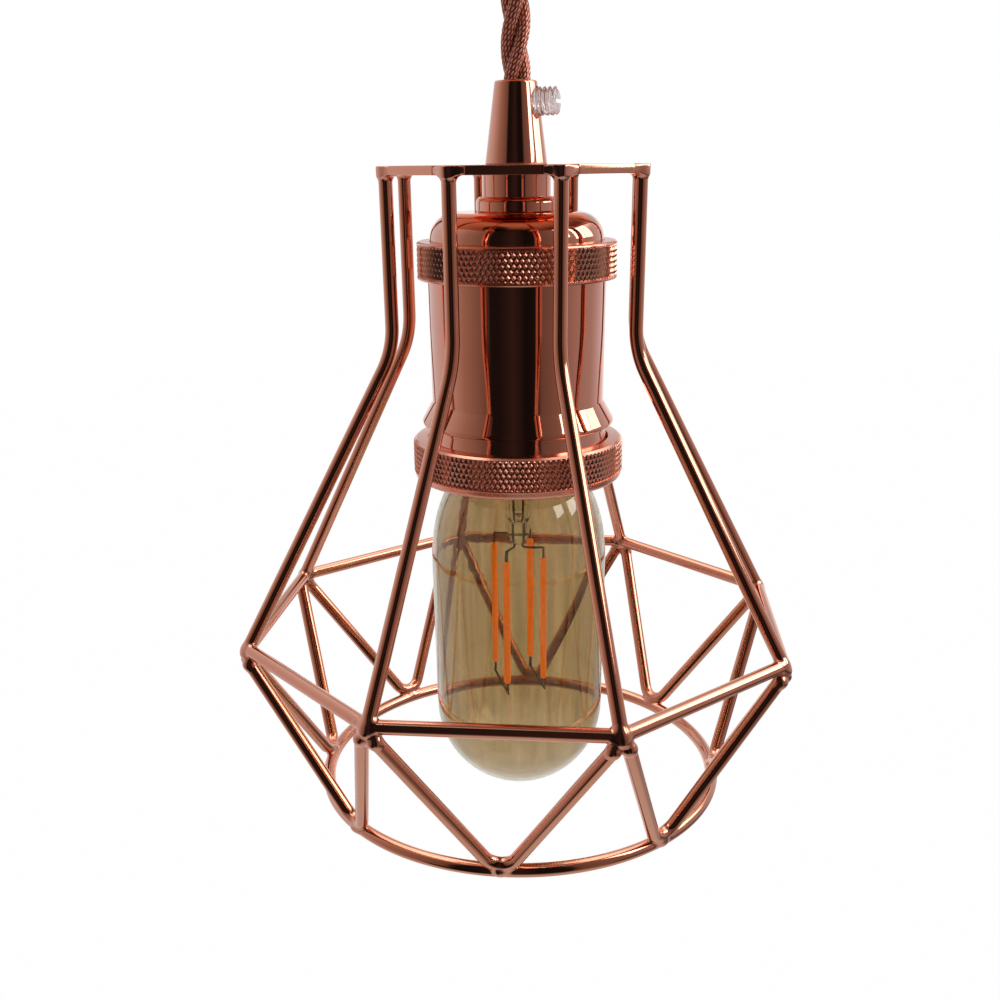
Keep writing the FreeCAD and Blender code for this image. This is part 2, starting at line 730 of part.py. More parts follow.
def make_filament(k):
    """Coated strip as a slim rod with a metal tab at each end."""
    x, y = filament_axis(k)
    top, bottom = filament_span(k)
    r = filament_d / 2.0
    outline = [(0, top), (r * 0.55, top), (r, top - 1.2), (r, bottom + 1.2), (r * 0.55, bottom), (0, bottom)]
    strip = revolve(outline, plate_z)
    strip.translate(V(x, y, 0))
    tab = Part.makeCylinder(filament_tab_d / 2.0, filament_l + 2 * filament_tab_l,
                            V(x, y, lamp_z(bottom - filament_tab_l)))
    return strip.fuse(tab)


def make_cross_wire():
    """Wire held in the stem's pinch that joins the two rear filaments at the top."""
    a = filament_top(1)
    b = filament_top(3)
    centre = V(0, 0, lamp_z(stem_end_z + 2.2))
    end0 = V(a.x, a.y, a.z)
    end1 = V(b.x, b.y, b.z)
    return bent_rod([end0, V(a.x * 0.35, a.y * 0.35, centre.z), V(b.x * 0.35, b.y * 0.35, centre.z), end1],
                    [0.8, 0.8], lead_d / 2.0)


def make_link(i, j):
    """Wire that joins two filaments at the bottom."""
    a = filament_bottom(i)
    b = filament_bottom(j)
    run = (V(b.x, b.y, 0) - V(a.x, a.y, 0)).normalize()
    return rod(a - run * 0.9, b + run * 0.9, lead_d / 2.0)


# Assembly

parts = []


def add(name, shape):
    parts.append((name, shape))


mid_ring = make_mid_ring()
bottom_ring = make_bottom_ring()
add("cage_top_plate", make_plate())
for i in range(1, cage_sides + 1):
    add("cage_leg_%d" % i, make_leg(i, mid_ring))
add("cage_middle_ring", mid_ring)
front_brace = make_brace(mid_ring, bottom_ring)
for i in range(1, cage_sides + 1):
    brace = front_brace.copy()
    brace.rotate(V(0, 0, 0), AXIS, tip_deg(i))
    add("cage_brace_%d" % i, brace)
add("cage_bottom_ring", bottom_ring)

add("cord", make_cord())
add("lower_grip", make_grip(False))
add("lower_grip_screw", make_grip_screw(False))
add("upper_grip", make_grip(True))
add("upper_grip_screw", make_grip_screw(True))
add("lower_nipple", make_nipple(lamp_z(-dome_round - 8.6), plate_z + grip_thread_depth - 0.4))
add("lower_nipple_nut", make_nipple_nut(lamp_z(dome_top_z - cap_wall) - nipple_nut_h))
add("upper_nipple", make_nipple(-rose_h - grip_thread_depth + 0.4, -rose_h + rose_wall + 4.2))
add("upper_nipple_nut", make_nipple_nut(-rose_h + rose_wall))
add("rose_cover", make_rose_cover())
add("rose_bracket", make_rose_bracket())
add("rose_screw_1", make_rose_screw(1))
add("rose_screw_2", make_rose_screw(-1))

add("holder_cap", make_holder_cap())
add("upper_knurled_ring", make_upper_ring())
add("holder_body", make_body())
add("lower_knurled_ring", make_lower_ring())
add("socket_core", make_core())
add("socket_sleeve", make_sleeve())
add("centre_contact", make_centre_contact())
add("terminal_screw_1", make_terminal(1))
add("terminal_screw_2", make_terminal(-1))

lead_1 = make_lead(-1)
lead_2 = make_lead(1)
cross = make_cross_wire()
add("bulb_glass", make_bulb_glass())
add("bulb_cap", make_bulb_cap())
add("bulb_insulator", make_bulb_insulator())
add("bulb_contact", make_bulb_contact())
add("bulb_stem", make_stem([lead_1, lead_2, cross]))
filaments = dict((k, make_filament(k)) for k in (1, 2, 3, 4))
link_1 = make_link(1, 2)
link_2 = make_link(3, 4)
add("bulb_lead_1", lead_1.cut(filaments[2]))
add("bulb_lead_2", lead_2.cut(filaments[4]))
add("bulb_cross_wire", cross.cut(filaments[1]).cut(filaments[3]))
for k in (1, 2, 3, 4):
    add("bulb_filament_%d" % k, filaments[k])
add("bulb_link_1", link_1.cut(filaments[1]).cut(filaments[2]))
add("bulb_link_2", link_2.cut(filaments[3]).cut(filaments[4]))

os.makedirs("parts", exist_ok=True)
for name, shape in parts:
    shape.exportStep("parts/" + name + ".step")
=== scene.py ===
import json
import math

import bpy
import numpy as np
from mathutils import Matrix, Vector


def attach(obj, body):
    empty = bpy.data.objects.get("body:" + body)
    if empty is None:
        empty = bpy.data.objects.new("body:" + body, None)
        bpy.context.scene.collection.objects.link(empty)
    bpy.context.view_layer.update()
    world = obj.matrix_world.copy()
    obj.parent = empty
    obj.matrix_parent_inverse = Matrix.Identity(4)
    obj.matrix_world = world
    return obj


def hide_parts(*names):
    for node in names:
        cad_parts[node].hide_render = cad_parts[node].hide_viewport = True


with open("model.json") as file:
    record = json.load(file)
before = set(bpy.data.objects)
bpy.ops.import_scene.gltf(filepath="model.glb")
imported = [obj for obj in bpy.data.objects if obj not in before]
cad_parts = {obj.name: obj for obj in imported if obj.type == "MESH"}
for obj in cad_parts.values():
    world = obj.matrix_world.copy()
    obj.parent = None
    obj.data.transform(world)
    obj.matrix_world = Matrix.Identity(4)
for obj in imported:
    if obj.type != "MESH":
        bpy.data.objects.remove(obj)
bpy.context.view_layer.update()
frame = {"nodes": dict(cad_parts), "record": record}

# Everything is in metres, in the part's own frame: origin in the ceiling's plane, +Z up, front -Y.
# Outlines and the lines of wires are in millimetres, with levels from the guard plate's top face, negative below it.

nodes = frame["nodes"]
scene = bpy.context.scene

# Heights in metres: the guard plate's top face, the cord's two ends and the mouth of the lower grip
PLATE = -0.081
CORD_LOW, CORD_HIGH = -0.0905, -0.019

# Clamp screw of the lower grip: degrees round from +X, and level. The upper grip is its mirror image, so that a level
# on the one and the same level on the other add up to GRIP_MIRROR.
SCREW_TURN, SCREW_LEVEL, GRIP_MIRROR = -10.0, 13.9, 56.0

# Sizes of the guard in millimetres, as in the part's source
SIDES = 8
STEP = 360.0 / SIDES
WIRE_R = 1.6
PLATE_T, LEG_TOP_R, PLATE_OVER, HOLE_R = 2.0, 31.2, 1.7, 5.1
APOTHEM = (LEG_TOP_R + PLATE_OVER) * math.cos(math.pi / SIDES)
SHOULDER_R, SHOULDER_Z, SHOULDER_BEND = 30.8, -41.7, 22.0
MID_R, MID_Z, MID_BEND = 69.5, -113.0, 3.0
LOW_R, LOW_Z = 51.0, -154.9
BRACE_BEND, TIP_RISE, TIP_OUT = 4.3, 1.7, 0.8
TOP_SIDE, TOP_DROP, TOP_IN = 1.75, 3.2, 0.2


def lamp(level):
    """Height in metres of a level in millimetres."""
    return PLATE + level * 0.001


def at(r, deg, z):
    """Point in millimetres at radius r, azimuth deg from -Y towards +X, level z."""
    a = math.radians(deg)
    return Vector((r * math.sin(a), -r * math.cos(a), z))


def to_frame(p):
    """Point in metres of a point in millimetres."""
    return Vector((p[0] * 0.001, p[1] * 0.001, lamp(p[2])))


def vertex_deg(i):
    """Azimuth of the guard's corner i."""
    return (i - 0.5) * STEP


# Camera

def make_camera():
    """Camera at the photograph's place, solved from the guard's corners. The part stands turned before it."""
    yaw, pitch, roll = (math.radians(a) for a in (-0.94, 16.24, 0.6))
    part_turn = 4.9
    distance, above_plate = 0.2813, 0.0004
    sensor, focal_ratio = 36.0, 1.157
    ahead = Vector((math.sin(yaw) * math.cos(pitch), math.cos(yaw) * math.cos(pitch), -math.sin(pitch)))
    right = Vector((math.cos(yaw), -math.sin(yaw), 0))
    down = ahead.cross(right)
    right, down = (right * math.cos(roll) + down * math.sin(roll), down * math.cos(roll) - right * math.sin(roll))
    turn = Matrix.Rotation(math.radians(part_turn), 3, "Z")
    axes = Matrix((turn @ right, turn @ -down, turn @ -ahead)).transposed()
    data = bpy.data.cameras.new("camera")
    data.sensor_width = sensor
    data.lens = sensor * focal_ratio
    data.clip_start = 0.005
    data.clip_end = 50.0
    cam = bpy.data.objects.new("camera", data)
    scene.collection.objects.link(cam)
    cam.matrix_world = Matrix.Translation(turn @ Vector((0, -distance, above_plate + PLATE))) @ axes.to_4x4()
    scene.camera = cam


make_camera()


# Mesh helpers

def new_object(name, verts, faces, material, sharp_deg):
    """Smooth-shaded piece whose edges are sharp from an angle on, or nowhere."""
    mesh = bpy.data.meshes.new(name)
    mesh.from_pydata([tuple(v) for v in verts], [], [tuple(f) for f in faces])
    mesh.validate()
    mesh.shade_smooth()
    if sharp_deg is not None:
        mesh.set_sharp_from_angle(angle=math.radians(sharp_deg))
    obj = bpy.data.objects.new(name, mesh)
    scene.collection.objects.link(obj)
    mesh.materials.append(material)
    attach(obj, "root")
    return obj


def cut_away(obj, cutter, sharp_deg):
    """Take the cutter's shape out of a piece."""
    mod = obj.modifiers.new("cut", "BOOLEAN")
    mod.object = cutter
    mod.operation = "DIFFERENCE"
    mod.solver = "EXACT"
    bpy.context.view_layer.update()
    mesh = bpy.data.meshes.new_from_object(obj.evaluated_get(bpy.context.evaluated_depsgraph_get()))
    obj.modifiers.clear()
    obj.data = mesh
    mesh.shade_smooth()
    mesh.set_sharp_from_angle(angle=math.radians(sharp_deg))
    bpy.data.objects.remove(cutter)


# Materials

class Nodes:
    """Short way to write the node tree of a material or of the world."""

    def __init__(self, owner, output="ShaderNodeOutputMaterial"):
        owner.use_nodes = True
        self.owner = owner
        self.tree = owner.node_tree
        self.tree.nodes.clear()
        self.out = self.tree.nodes.new(output)

    def add(self, kind, **settings):
        node = self.tree.nodes.new(kind)
        for key, value in settings.items():
            setattr(node, key, value)
        return node

    def link(self, a, out, b, into):
        self.tree.links.new(a.outputs[out], b.inputs[into])

    def noise(self, scale, detail=2.0, roughness=0.5, stretch=None):
        coord = self.add("ShaderNodeTexCoord")
        tex = self.add("ShaderNodeTexNoise")
        tex.inputs["Scale"].default_value = scale
        tex.inputs["Detail"].default_value = detail
        tex.inputs["Roughness"].default_value = roughness
        if stretch:
            mapping = self.add("ShaderNodeMapping")
            mapping.inputs["Scale"].default_value = stretch
            self.link(coord, "Object", mapping, "Vector")
            self.link(mapping, "Vector", tex, "Vector")
        else:
            self.link(coord, "Object", tex, "Vector")
        return tex

    def ramp(self, source, out, stops):
        """Colour ramp from (position, colour or grey) stops."""
        node = self.add("ShaderNodeValToRGB")
        elements = node.color_ramp.elements
        while len(elements) < len(stops):
            elements.new(0.5)
        for element, (place, value) in zip(elements, stops):
            element.position = place
            element.color = (value, value, value, 1.0) if isinstance(value, float) else (*value, 1.0)
        self.link(source, out, node, "Fac")
        return node

    def remap(self, source, out, low, high, from_low=0.3, from_high=0.7):
        node = self.add("ShaderNodeMapRange")
        node.inputs["From Min"].default_value = from_low
        node.inputs["From Max"].default_value = from_high
        node.inputs["To Min"].default_value = low
        node.inputs["To Max"].default_value = high
        self.link(source, out, node, "Value")
        return node

    def combine(self, operation, a, a_out, b, b_out):
        node = self.add("ShaderNodeMath", operation=operation)
        self.link(a, a_out, node, 0)
        self.link(b, b_out, node, 1)
        return node

    def blend(self, share, under, under_out, colour, kind="MIX"):
        """A colour laid over another node's by a share."""
        node = self.add("ShaderNodeMix", data_type="RGBA", blend_type=kind)
        self.link(share, 0, node, 0)
        self.link(under, under_out, node, 6)
        node.inputs[7].default_value = (*colour, 1.0)
        return node

    def shader(self, **values):
        bsdf = self.add("ShaderNodeBsdfPrincipled")
        for key, value in values.items():
            bsdf.inputs[key.replace("_", " ")].default_value = value
        self.link(bsdf, "BSDF", self.out, "Surface")
        return bsdf

    def mix_shaders(self, share, share_out, first, second):
        node = self.add("ShaderNodeMixShader")
        self.link(share, share_out, node, 0)
        self.link(first, 0, node, 1)
        self.link(second, 0, node, 2)
        return node

    def bump(self, bsdf, source, out, distance):
        node = self.add("ShaderNodeBump")
        node.inputs["Distance"].default_value = distance
        node.inputs["Strength"].default_value = 1.0
        self.link(source, out, node, "Height")
        self.link(node, "Normal", bsdf, "Normal")


def copper_material(name, light, dark, rough, wave, wave_scale):
    """Polished copper plate: slight tone changes, smudges in the gloss and a faint wave in the surface."""
    n = Nodes(bpy.data.materials.new(name))
    bsdf = n.shader(Metallic=1.0)
    tone = n.noise(38.0, 4.0, 0.55)
    ramp = n.ramp(tone, "Fac", [(0.3, dark), (0.7, light)])
    n.link(ramp, "Color", bsdf, "Base Color")
    smudge = n.noise(90.0, 5.0, 0.65)
    gloss = n.remap(smudge, "Fac", rough[0], rough[1])
    n.link(gloss, "Result", bsdf, "Roughness")
    swell = n.noise(wave_scale, 1.0, 0.4)
    n.bump(bsdf, swell, "Fac", wave)
    return n.owner


def plain_material(name, low, high, rough, metallic=0.0, scale=120.0, **extra):
    """Two-tone mottled surface with uneven gloss."""
    n = Nodes(bpy.data.materials.new(name))
    bsdf = n.shader(Metallic=metallic, **extra)
    tex = n.noise(scale, 4.0, 0.6)
    ramp = n.ramp(tex, "Fac", [(0.3, low), (0.7, high)])
    n.link(ramp, "Color", bsdf, "Base Color")
    gloss = n.remap(tex, "Fac", rough[0], rough[1])
    n.link(gloss, "Result", bsdf, "Roughness")
    n.bump(bsdf, tex, "Fac", 0.00003)
    return n.owner


def braid_material():
    """Satin yarns: a painted highlight of pale copper on the crests of the braid, painted shade nearly black between
    the yarns, and the yarns' own dark red-brown in the middle tones.
    """
    n = Nodes(bpy.data.materials.new("cord_fabric"))
    bsdf = n.shader(Metallic=0.6, IOR=1.5)
    braid = n.add("ShaderNodeAttribute", attribute_name="braid")
    tex = n.noise(1500.0, 2.0, 0.6)
    painted_shade_and_highlight = n.add("ShaderNodeMath", operation="MULTIPLY_ADD")
    n.link(tex, "Fac", painted_shade_and_highlight, 0)
    painted_shade_and_highlight.inputs[1].default_value = 0.5
    n.link(braid, "Fac", painted_shade_and_highlight, 2)
    # the ramp paints shade into the low places between the yarns and a highlight onto the crests, from the braid's
    # height
    ramp = n.ramp(painted_shade_and_highlight, "Value", [(0.42, (0.045, 0.007, 0.004)), (0.80, (0.24, 0.050, 0.028)),
                                   (1.0, (0.80, 0.33, 0.22))])
    n.link(ramp, "Color", bsdf, "Base Color")
    gloss = n.remap(tex, "Fac", 0.28, 0.45)
    n.link(gloss, "Result", bsdf, "Roughness")
    n.bump(bsdf, tex, "Fac", 0.00004)
    return n.owner


def nylon_material():
    """Clear nylon, a little milky in places, with a pink tint that is a painted reflection of the copper round it."""
    n = Nodes(bpy.data.materials.new("clear_nylon"))
    bsdf = n.shader(Transmission_Weight=0.85, IOR=1.45)
    tex = n.noise(300.0, 3.0)
    # the pink in both tones is a painted reflection of the copper; the change between them is random mottling
    ramp = n.ramp(tex, "Fac", [(0.3, (0.62, 0.50, 0.49)), (0.7, (0.88, 0.79, 0.78))])
    n.link(ramp, "Color", bsdf, "Base Color")
    gloss = n.remap(tex, "Fac", 0.03, 0.10)
    n.link(gloss, "Result", bsdf, "Roughness")
    return n.owner


def glass_material(name, light, dark, ior, tip=None):
    """Clear glass with upright streaks in its tint and a slow wave in its wall. The tint thins out towards a tip."""
    n = Nodes(bpy.data.materials.new(name))
    bsdf = n.shader(Transmission_Weight=1.0, IOR=ior, Roughness=0.0)
    tex = n.noise(40.0, 5.0, 0.62, (9.0, 9.0, 0.35))
    ramp = n.ramp(tex, "Fac", [(0.3, dark), (0.7, light)])
    if tip:
        low, high, pale = tip
        coord = n.add("ShaderNodeTexCoord")
        split = n.add("ShaderNodeSeparateXYZ")
        n.link(coord, "Object", split, "Vector")
        share = n.remap(split, "Z", 1.0, 0.0, low, high)
        thin = n.blend(share, ramp, "Color", pale)
        n.link(thin, 2, bsdf, "Base Color")
    else:
        n.link(ramp, "Color", bsdf, "Base Color")
    swell = n.noise(30.0, 1.0, 0.4, (1.0, 1.0, 0.5))
    n.bump(bsdf, swell, "Fac", 0.00006)
    return n.owner


MAT = {}
# name, light and dark tone, roughness from and to, height and scale of the wave
for name, *look in (
        ("guard_copper", (0.90, 0.42, 0.275), (0.83, 0.36, 0.225), (0.06, 0.15), 0.00002, 45.0),
        ("holder_copper", (0.90, 0.43, 0.30), (0.85, 0.39, 0.26), (0.03, 0.08), 0.00001, 70.0),
        ("knurl_copper", (0.92, 0.45, 0.32), (0.85, 0.39, 0.27), (0.20, 0.28), 0.00001, 300.0),
        ("braze_copper", (0.90, 0.44, 0.31), (0.82, 0.37, 0.24), (0.10, 0.22), 0.00002, 300.0),
        ("satin_copper", (0.93, 0.46, 0.32), (0.86, 0.40, 0.27), (0.50, 0.60), 0.00002, 200.0),
        ("rose_copper", (0.90, 0.44, 0.31), (0.84, 0.39, 0.27), (0.06, 0.13), 0.00002, 60.0)):
    MAT[name] = copper_material(name, *look)
# name, dark and light tone, roughness from and to, metallic, scale of the mottling
for name, *look in (
        ("plated_steel", (0.50, 0.50, 0.48), (0.62, 0.61, 0.58), (0.25, 0.42), 1.0),
        ("porcelain", (0.80, 0.79, 0.75), (0.88, 0.87, 0.84), (0.12, 0.25), 0.0, 60.0),
        ("contact_brass", (0.72, 0.54, 0.26), (0.82, 0.64, 0.34), (0.15, 0.3), 1.0),
        ("cap_metal", (0.66, 0.64, 0.60), (0.76, 0.74, 0.70), (0.15, 0.3), 1.0),
        ("black_glass", (0.012, 0.012, 0.014), (0.03, 0.03, 0.032), (0.05, 0.15)),
        ("lead_wire", (0.10, 0.085, 0.07), (0.22, 0.19, 0.16), (0.25, 0.45), 0.8, 400.0)):
    MAT[name] = plain_material(name, *look)
# painted glow: the emission makes the coat of the unlit filaments shine as if lit; the orange base colour is the coat's
# own
MAT["filament_coat"] = plain_material("filament_coat", (0.48, 0.15, 0.004), (0.66, 0.28, 0.02), (0.3, 0.5), 0.0, 500.0,
                                      Emission_Color=(1.0, 0.20, 0.002, 1.0), Emission_Strength=0.75)
MAT["cord_fabric"] = braid_material()
MAT["clear_nylon"] = nylon_material()
tip_z = min(v.co.z for v in nodes["bulb_glass"].data.vertices)
MAT["amber_glass"] = glass_material("amber_glass", (0.645, 0.51, 0.32), (0.435, 0.35, 0.215), 1.62,
                                    (tip_z + 0.007, tip_z + 0.013, (0.69, 0.61, 0.48)))
MAT["stem_glass"] = glass_material("stem_glass", (0.95, 0.95, 0.93), (0.91, 0.91, 0.88), 1.3)

for part in frame["record"]["subparts"]:
    obj = nodes[part["node"]]
    obj.data.materials.clear()
    obj.data.materials.append(MAT[part["material_slot"]])


# Turned pieces

def arc(x, z, r, deg0, deg1, n):
    return [(x + r * math.cos(math.radians(deg0 + (deg1 - deg0) * k / n)),
             z + r * math.sin(math.radians(deg0 + (deg1 - deg0) * k / n))) for k in range(n + 1)]


def eased(corners, radius, steps=3):
    """Closed outline whose corners are small curves."""
    out = []
    for k, corner in enumerate(corners):
        p, a, b = Vector(corner), Vector(corners[k - 1]), Vector(corners[(k + 1) % len(corners)])
        start, end = p + (a - p).normalized() * radius, p + (b - p).normalized() * radius
        for j in range(steps + 1):
            t = j / steps
            out.append(tuple(start * (1 - t) ** 2 + p * 2 * t * (1 - t) + end * t * t))
    return out


def lathe(name, outline, material, node, segments, radius_at=None):
    """Ring-shaped piece turned from a closed outline of (radius, level). radius_at bends a radius with the azimuth."""
    verts, faces = [], []
    n = len(outline)
    for j in range(segments):
        deg = 360.0 * j / segments
        for r, z in outline:
            rr = r if radius_at is None else radius_at(r, deg)
            verts.append(to_frame(at(rr, deg, z)))
    for j in range(segments):
        a, b = j * n, ((j + 1) % segments) * n
        for k in range(n):
            k2 = (k + 1) % n
            faces.append((a + k, b + k, b + k2, a + k2))
    obj = new_object(name, verts, faces, material, 30.0)
    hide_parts(node)
    return obj


def make_cap():
    """Collar, bead and dome in one spun piece, open below."""
    bore_r, wall = 5.0, 0.8
    collar_r, collar_top = 8.05, -2.02
    rim_r, dome_top, dome_bend = 20.7, -10.6, 6.2
    flange_r, flange_top, flange_low = 21.8, -18.8, -19.85
    bend_r, bend_z = rim_r - dome_bend, dome_top - dome_bend
    outline = [(bore_r, collar_top), (7.9, collar_top), (collar_r, -2.2), (collar_r, -7.1)]
    outline += arc(8.1, -8.5, 1.4, 90, 0, 8) + [(9.5, -10.3), (9.3, dome_top)]
    outline += arc(bend_r, bend_z, dome_bend, 90, 0, 20)
    outline += [(rim_r, flange_top), (flange_r, flange_top), (flange_r, flange_low), (19.9, flange_low)]
    outline += arc(bend_r, bend_z, dome_bend - wall, 0, 90, 12) + [(bore_r, -11.4)]
    lathe("cap_turned", outline, MAT["holder_copper"], "holder_cap", 192)


def make_body():
    """Barrel with a shoulder above, a flare below and a neck with rounded thread turns."""
    top = [(20.0, -19.95), (22.05, -19.95), (22.05, -26.05)]
    barrel = [(21.4, -26.05), (21.35, -27.5), (20.97, -55.1), (20.98, -55.35), (21.08, -55.65)]
    flare = [(23.3, -59.7), (23.48, -60.1), (23.5, -60.4), (23.45, -60.7), (23.2, -60.9), (21.95, -61.1),
             (21.95, -61.9)]
    neck_r, pitch, first, last = 21.75, 2.4, -64.9, -73.0
    ridge = [(neck_r, 0), (22.0, -0.45), (22.2, -0.75), (22.28, -1.08), (22.2, -1.41), (22.0, -1.71), (neck_r, -2.16)]
    neck, z = [(neck_r, -62.0)], first
    while z - pitch > last:
        neck += [(r, z + dz) for r, dz in ridge]
        z -= pitch
    inside = [(neck_r, -72.9), (20.9, -72.9), (20.9, -60.2), (18.2, -53.2), (17.0, -53.0), (17.0, -52.05),
              (20.0, -52.05)]
    outline = eased(top, 0.1)[:-1] + barrel + flare + neck + inside
    lathe("body_drawn", outline, MAT["holder_copper"], "holder_body", 192)


def make_grip(name, node, flip):
    """Cone with a clear hole at its side for the clamp screw."""
    foot_r, top_r, height, edge, bore_r, thread_r, thread_top = 7.25, 4.9, 18.5, 0.5, 3.6, 5.0, 8.0
    hole_r, hole_reach, hole_length = 0.0033, 0.009, 0.012
    cone_r = top_r + 0.07
    lean = (foot_r - top_r - 0.07) / (height - edge - 0.3)
    # the rings just inside the cone's ends keep its shading straight between them
    outline = [(thread_r, 0.02), (foot_r - 0.25, 0.02), (foot_r - 0.05, 0.1), (foot_r, 0.3),
               (foot_r - 0.2 * lean, 0.5), (cone_r + 0.2 * lean, height - edge - 0.2), (cone_r, height - edge),
               (top_r - 0.02, height - 0.3), (top_r - 0.2, height - 0.1), (top_r - edge, height),
               (bore_r + 0.3, height), (bore_r, height - 0.3), (bore_r, thread_top), (thread_r, thread_top)]
    if flip:
        outline = [(r, GRIP_MIRROR - z) for r, z in outline]
    obj = lathe(name, outline, MAT["holder_copper"], node, 128)
    level = GRIP_MIRROR - SCREW_LEVEL if flip else SCREW_LEVEL
    turn = math.radians(-SCREW_TURN if flip else SCREW_TURN)
    place = (hole_reach * math.cos(turn), hole_reach * math.sin(turn), lamp(level))
    bpy.ops.mesh.primitive_cylinder_add(vertices=64, radius=hole_r, depth=hole_length, location=place,
                                        rotation=(0, math.pi / 2, turn))
    cut_away(obj, bpy.context.object, 30.0)


def make_grip_screw(name, node, flip):
    """Headless nylon screw with a rolled thread and a slot."""
    tip, end, pitch = 3.55, 9.97, 1.2
    core_r, thread_h, chamfer = 2.62, 0.56, 0.35
    root_share, flank_share = 0.12, 0.62
    slot_depth, slot_length, slot_width = 0.0012, 0.008, 0.0009
    around, per_turn = 48, 12
    level = GRIP_MIRROR - SCREW_LEVEL if flip else SCREW_LEVEL
    turn = math.radians(-SCREW_TURN if flip else SCREW_TURN)
    turned = Matrix.Rotation(turn, 3, "Z")
    rows = int((end - tip) / pitch * per_turn)
    verts, faces = [], []
    for k in range(rows + 1):
        x = tip + (end - tip) * k / rows
        ease = min(1.0, (end - x) / chamfer)
        for j in range(around):
            u = j / around
            # a helix whose ridge is rounded, with a flat root between two turns
            crest = 1.0 - abs(2.0 * ((x / pitch - u) % 1.0) - 1.0)
            crest = min(1.0, max(0.0, (crest - root_share) / flank_share))
            crest = crest * crest * (3 - 2 * crest)
            r = core_r + thread_h * crest - chamfer * (1 - ease)
            a = 2 * math.pi * u
            q = turned @ Vector((x, r * math.cos(a), 0))
            verts.append(to_frame(Vector((q.x, q.y, level + r * math.sin(a)))))
    for k in range(rows):
        for j in range(around):
            a, b = k * around + j, k * around + (j + 1) % around
            faces.append((a, a + around, b + around, b))
    faces += [tuple(range(around)), tuple(reversed(range(rows * around, rows * around + around)))]
    obj = new_object(name, verts, faces, MAT["clear_nylon"], 45.0)
    place = turned @ Vector((end * 0.001, 0, 0))
    bpy.ops.mesh.primitive_cube_add(size=1.0, location=(place.x, place.y, lamp(level)))
    cutter = bpy.context.object
    cutter.rotation_euler.z = turn
    cutter.scale = (2 * slot_depth, slot_length, slot_width)
    cut_away(obj, cutter, 45.0)
    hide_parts(node)


def knurl_height(u, v):
    """0 in the grooves and 1 on the flats of a diamond knurl, u and v counted in diamonds."""
    slope_end = 0.84
    p, q = (u + v) % 1.0, (u - v) % 1.0
    d = min(min(p, 1 - p), min(q, 1 - q)) * 2.0
    return min(1.0, d / slope_end)


def knurled_ring(name, node, above, below, radius, top, bottom, count, rows):
    """Turned ring: outline above the band, knurled band, outline below it back to the start."""
    fine, depth = 8, 0.44
    rim_in, rim_height, rim_slope = 0.02, 0.30, 1.1
    columns, steps = count * fine, rows * fine
    levels = [top - (top - bottom) * k / steps for k in range(steps + 1)]
    column = above + [(None, z) for z in levels] + below
    verts, faces = [], []
    n = len(column)
    for j in range(columns):
        deg = 360.0 * j / columns
        u = j / fine
        for r, z in column:
            if r is None:
                v = (z - top) / ((top - bottom) / rows)
                r = radius - depth * (1.0 - knurl_height(u, v))
                # the rims were turned after the knurl, so they cut its first and last diamonds
                edge = min(top - z, z - bottom)
                r = min(r, radius - rim_in - max(0.0, rim_height - edge) * rim_slope)
            verts.append(to_frame(at(r, deg, z)))
    first = len(above)
    for j in range(columns):
        a, b = j * n, ((j + 1) % columns) * n
        for k in range(n):
            k2 = (k + 1) % n
            quad = (a + k, b + k, b + k2, a + k2)
            if first <= k < first + steps:
                # split along the groove, whose ends lie at one radius
                rad = [math.hypot(verts[q].x, verts[q].y) for q in quad]
                if abs(rad[0] - rad[2]) <= abs(rad[1] - rad[3]):
                    faces += [(quad[0], quad[1], quad[2]), (quad[0], quad[2], quad[3])]
                else:
                    faces += [(quad[0], quad[1], quad[3]), (quad[1], quad[2], quad[3])]
            else:
                faces.append(quad)
    obj = new_object(name, verts, faces, MAT["knurl_copper"], 24.0)
    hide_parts(node)


def make_upper_ring():
    """Ring under the cap, with a rounded upper edge."""
    r, top, bottom = 23.85, -17.2, -26.0
    bore_r, seat = 22.2, top - 1.6
    above = [(20.8, seat), (20.78, top)] + arc(r - 0.7, top - 0.7, 0.7, 90, 8, 6)
    below = [(r - 0.02, bottom + 0.62), (r, bottom + 0.4), (r - 0.12, bottom + 0.12), (r - 0.4, bottom),
             (bore_r, bottom), (bore_r, seat)]
    knurled_ring("ring_upper", "upper_knurled_ring", above, below, r, top - 0.75, bottom + 0.75, 114, 3)


def make_lower_ring():
    """Ring round the neck, with a plain rounded rim below."""
    r, top, bottom = 25.95, -64.5, -74.4
    bore_r, floor = 22.4, -73.05
    above = [(bore_r, top), (r - 0.95, top), (r - 0.85, top - 0.03), (r - 0.35, top - 0.48)]
    below = [(r - 0.03, bottom + 1.95), (r - 0.2, bottom + 1.5)] + arc(r - 1.55, bottom + 1.25, 1.3, 0, -90, 6)[1:]
    below += [(21.1, bottom), (20.8, bottom + 0.2), (20.75, floor), (bore_r, floor)]
    knurled_ring("ring_lower", "lower_knurled_ring", above, below, r, top - 0.5, bottom + 2.0, 124, 3)


# Guard wires

def bend(points, radius, steps):
    """Polyline whose inner corners are arcs."""
    out = [points[0].copy()]
    for k in range(1, len(points) - 1):
        a = (points[k - 1] - points[k]).normalized()
        b = (points[k + 1] - points[k]).normalized()
        half = a.angle(b) / 2
        cut = radius / math.tan(half)
        centre = points[k] + (a + b).normalized() * (radius / math.sin(half))
        start, end = points[k] + a * cut - centre, points[k] + b * cut - centre
        sweep = start.angle(end)
        for j in range(steps + 1):
            t = j / steps
            w0, w1 = math.sin((1 - t) * sweep) / math.sin(sweep), math.sin(t * sweep) / math.sin(sweep)
            out.append(centre + start * w0 + end * w1)
    out.append(points[-1].copy())
    return out


def dense_line(line, spacing):
    """The same line with its long stretches divided."""
    out = []
    for a, b in zip(line, line[1:]):
        n = max(1, int((b - a).length / spacing))
        out += [a.lerp(b, k / n) for k in range(n)]
    return out + [line[-1]]


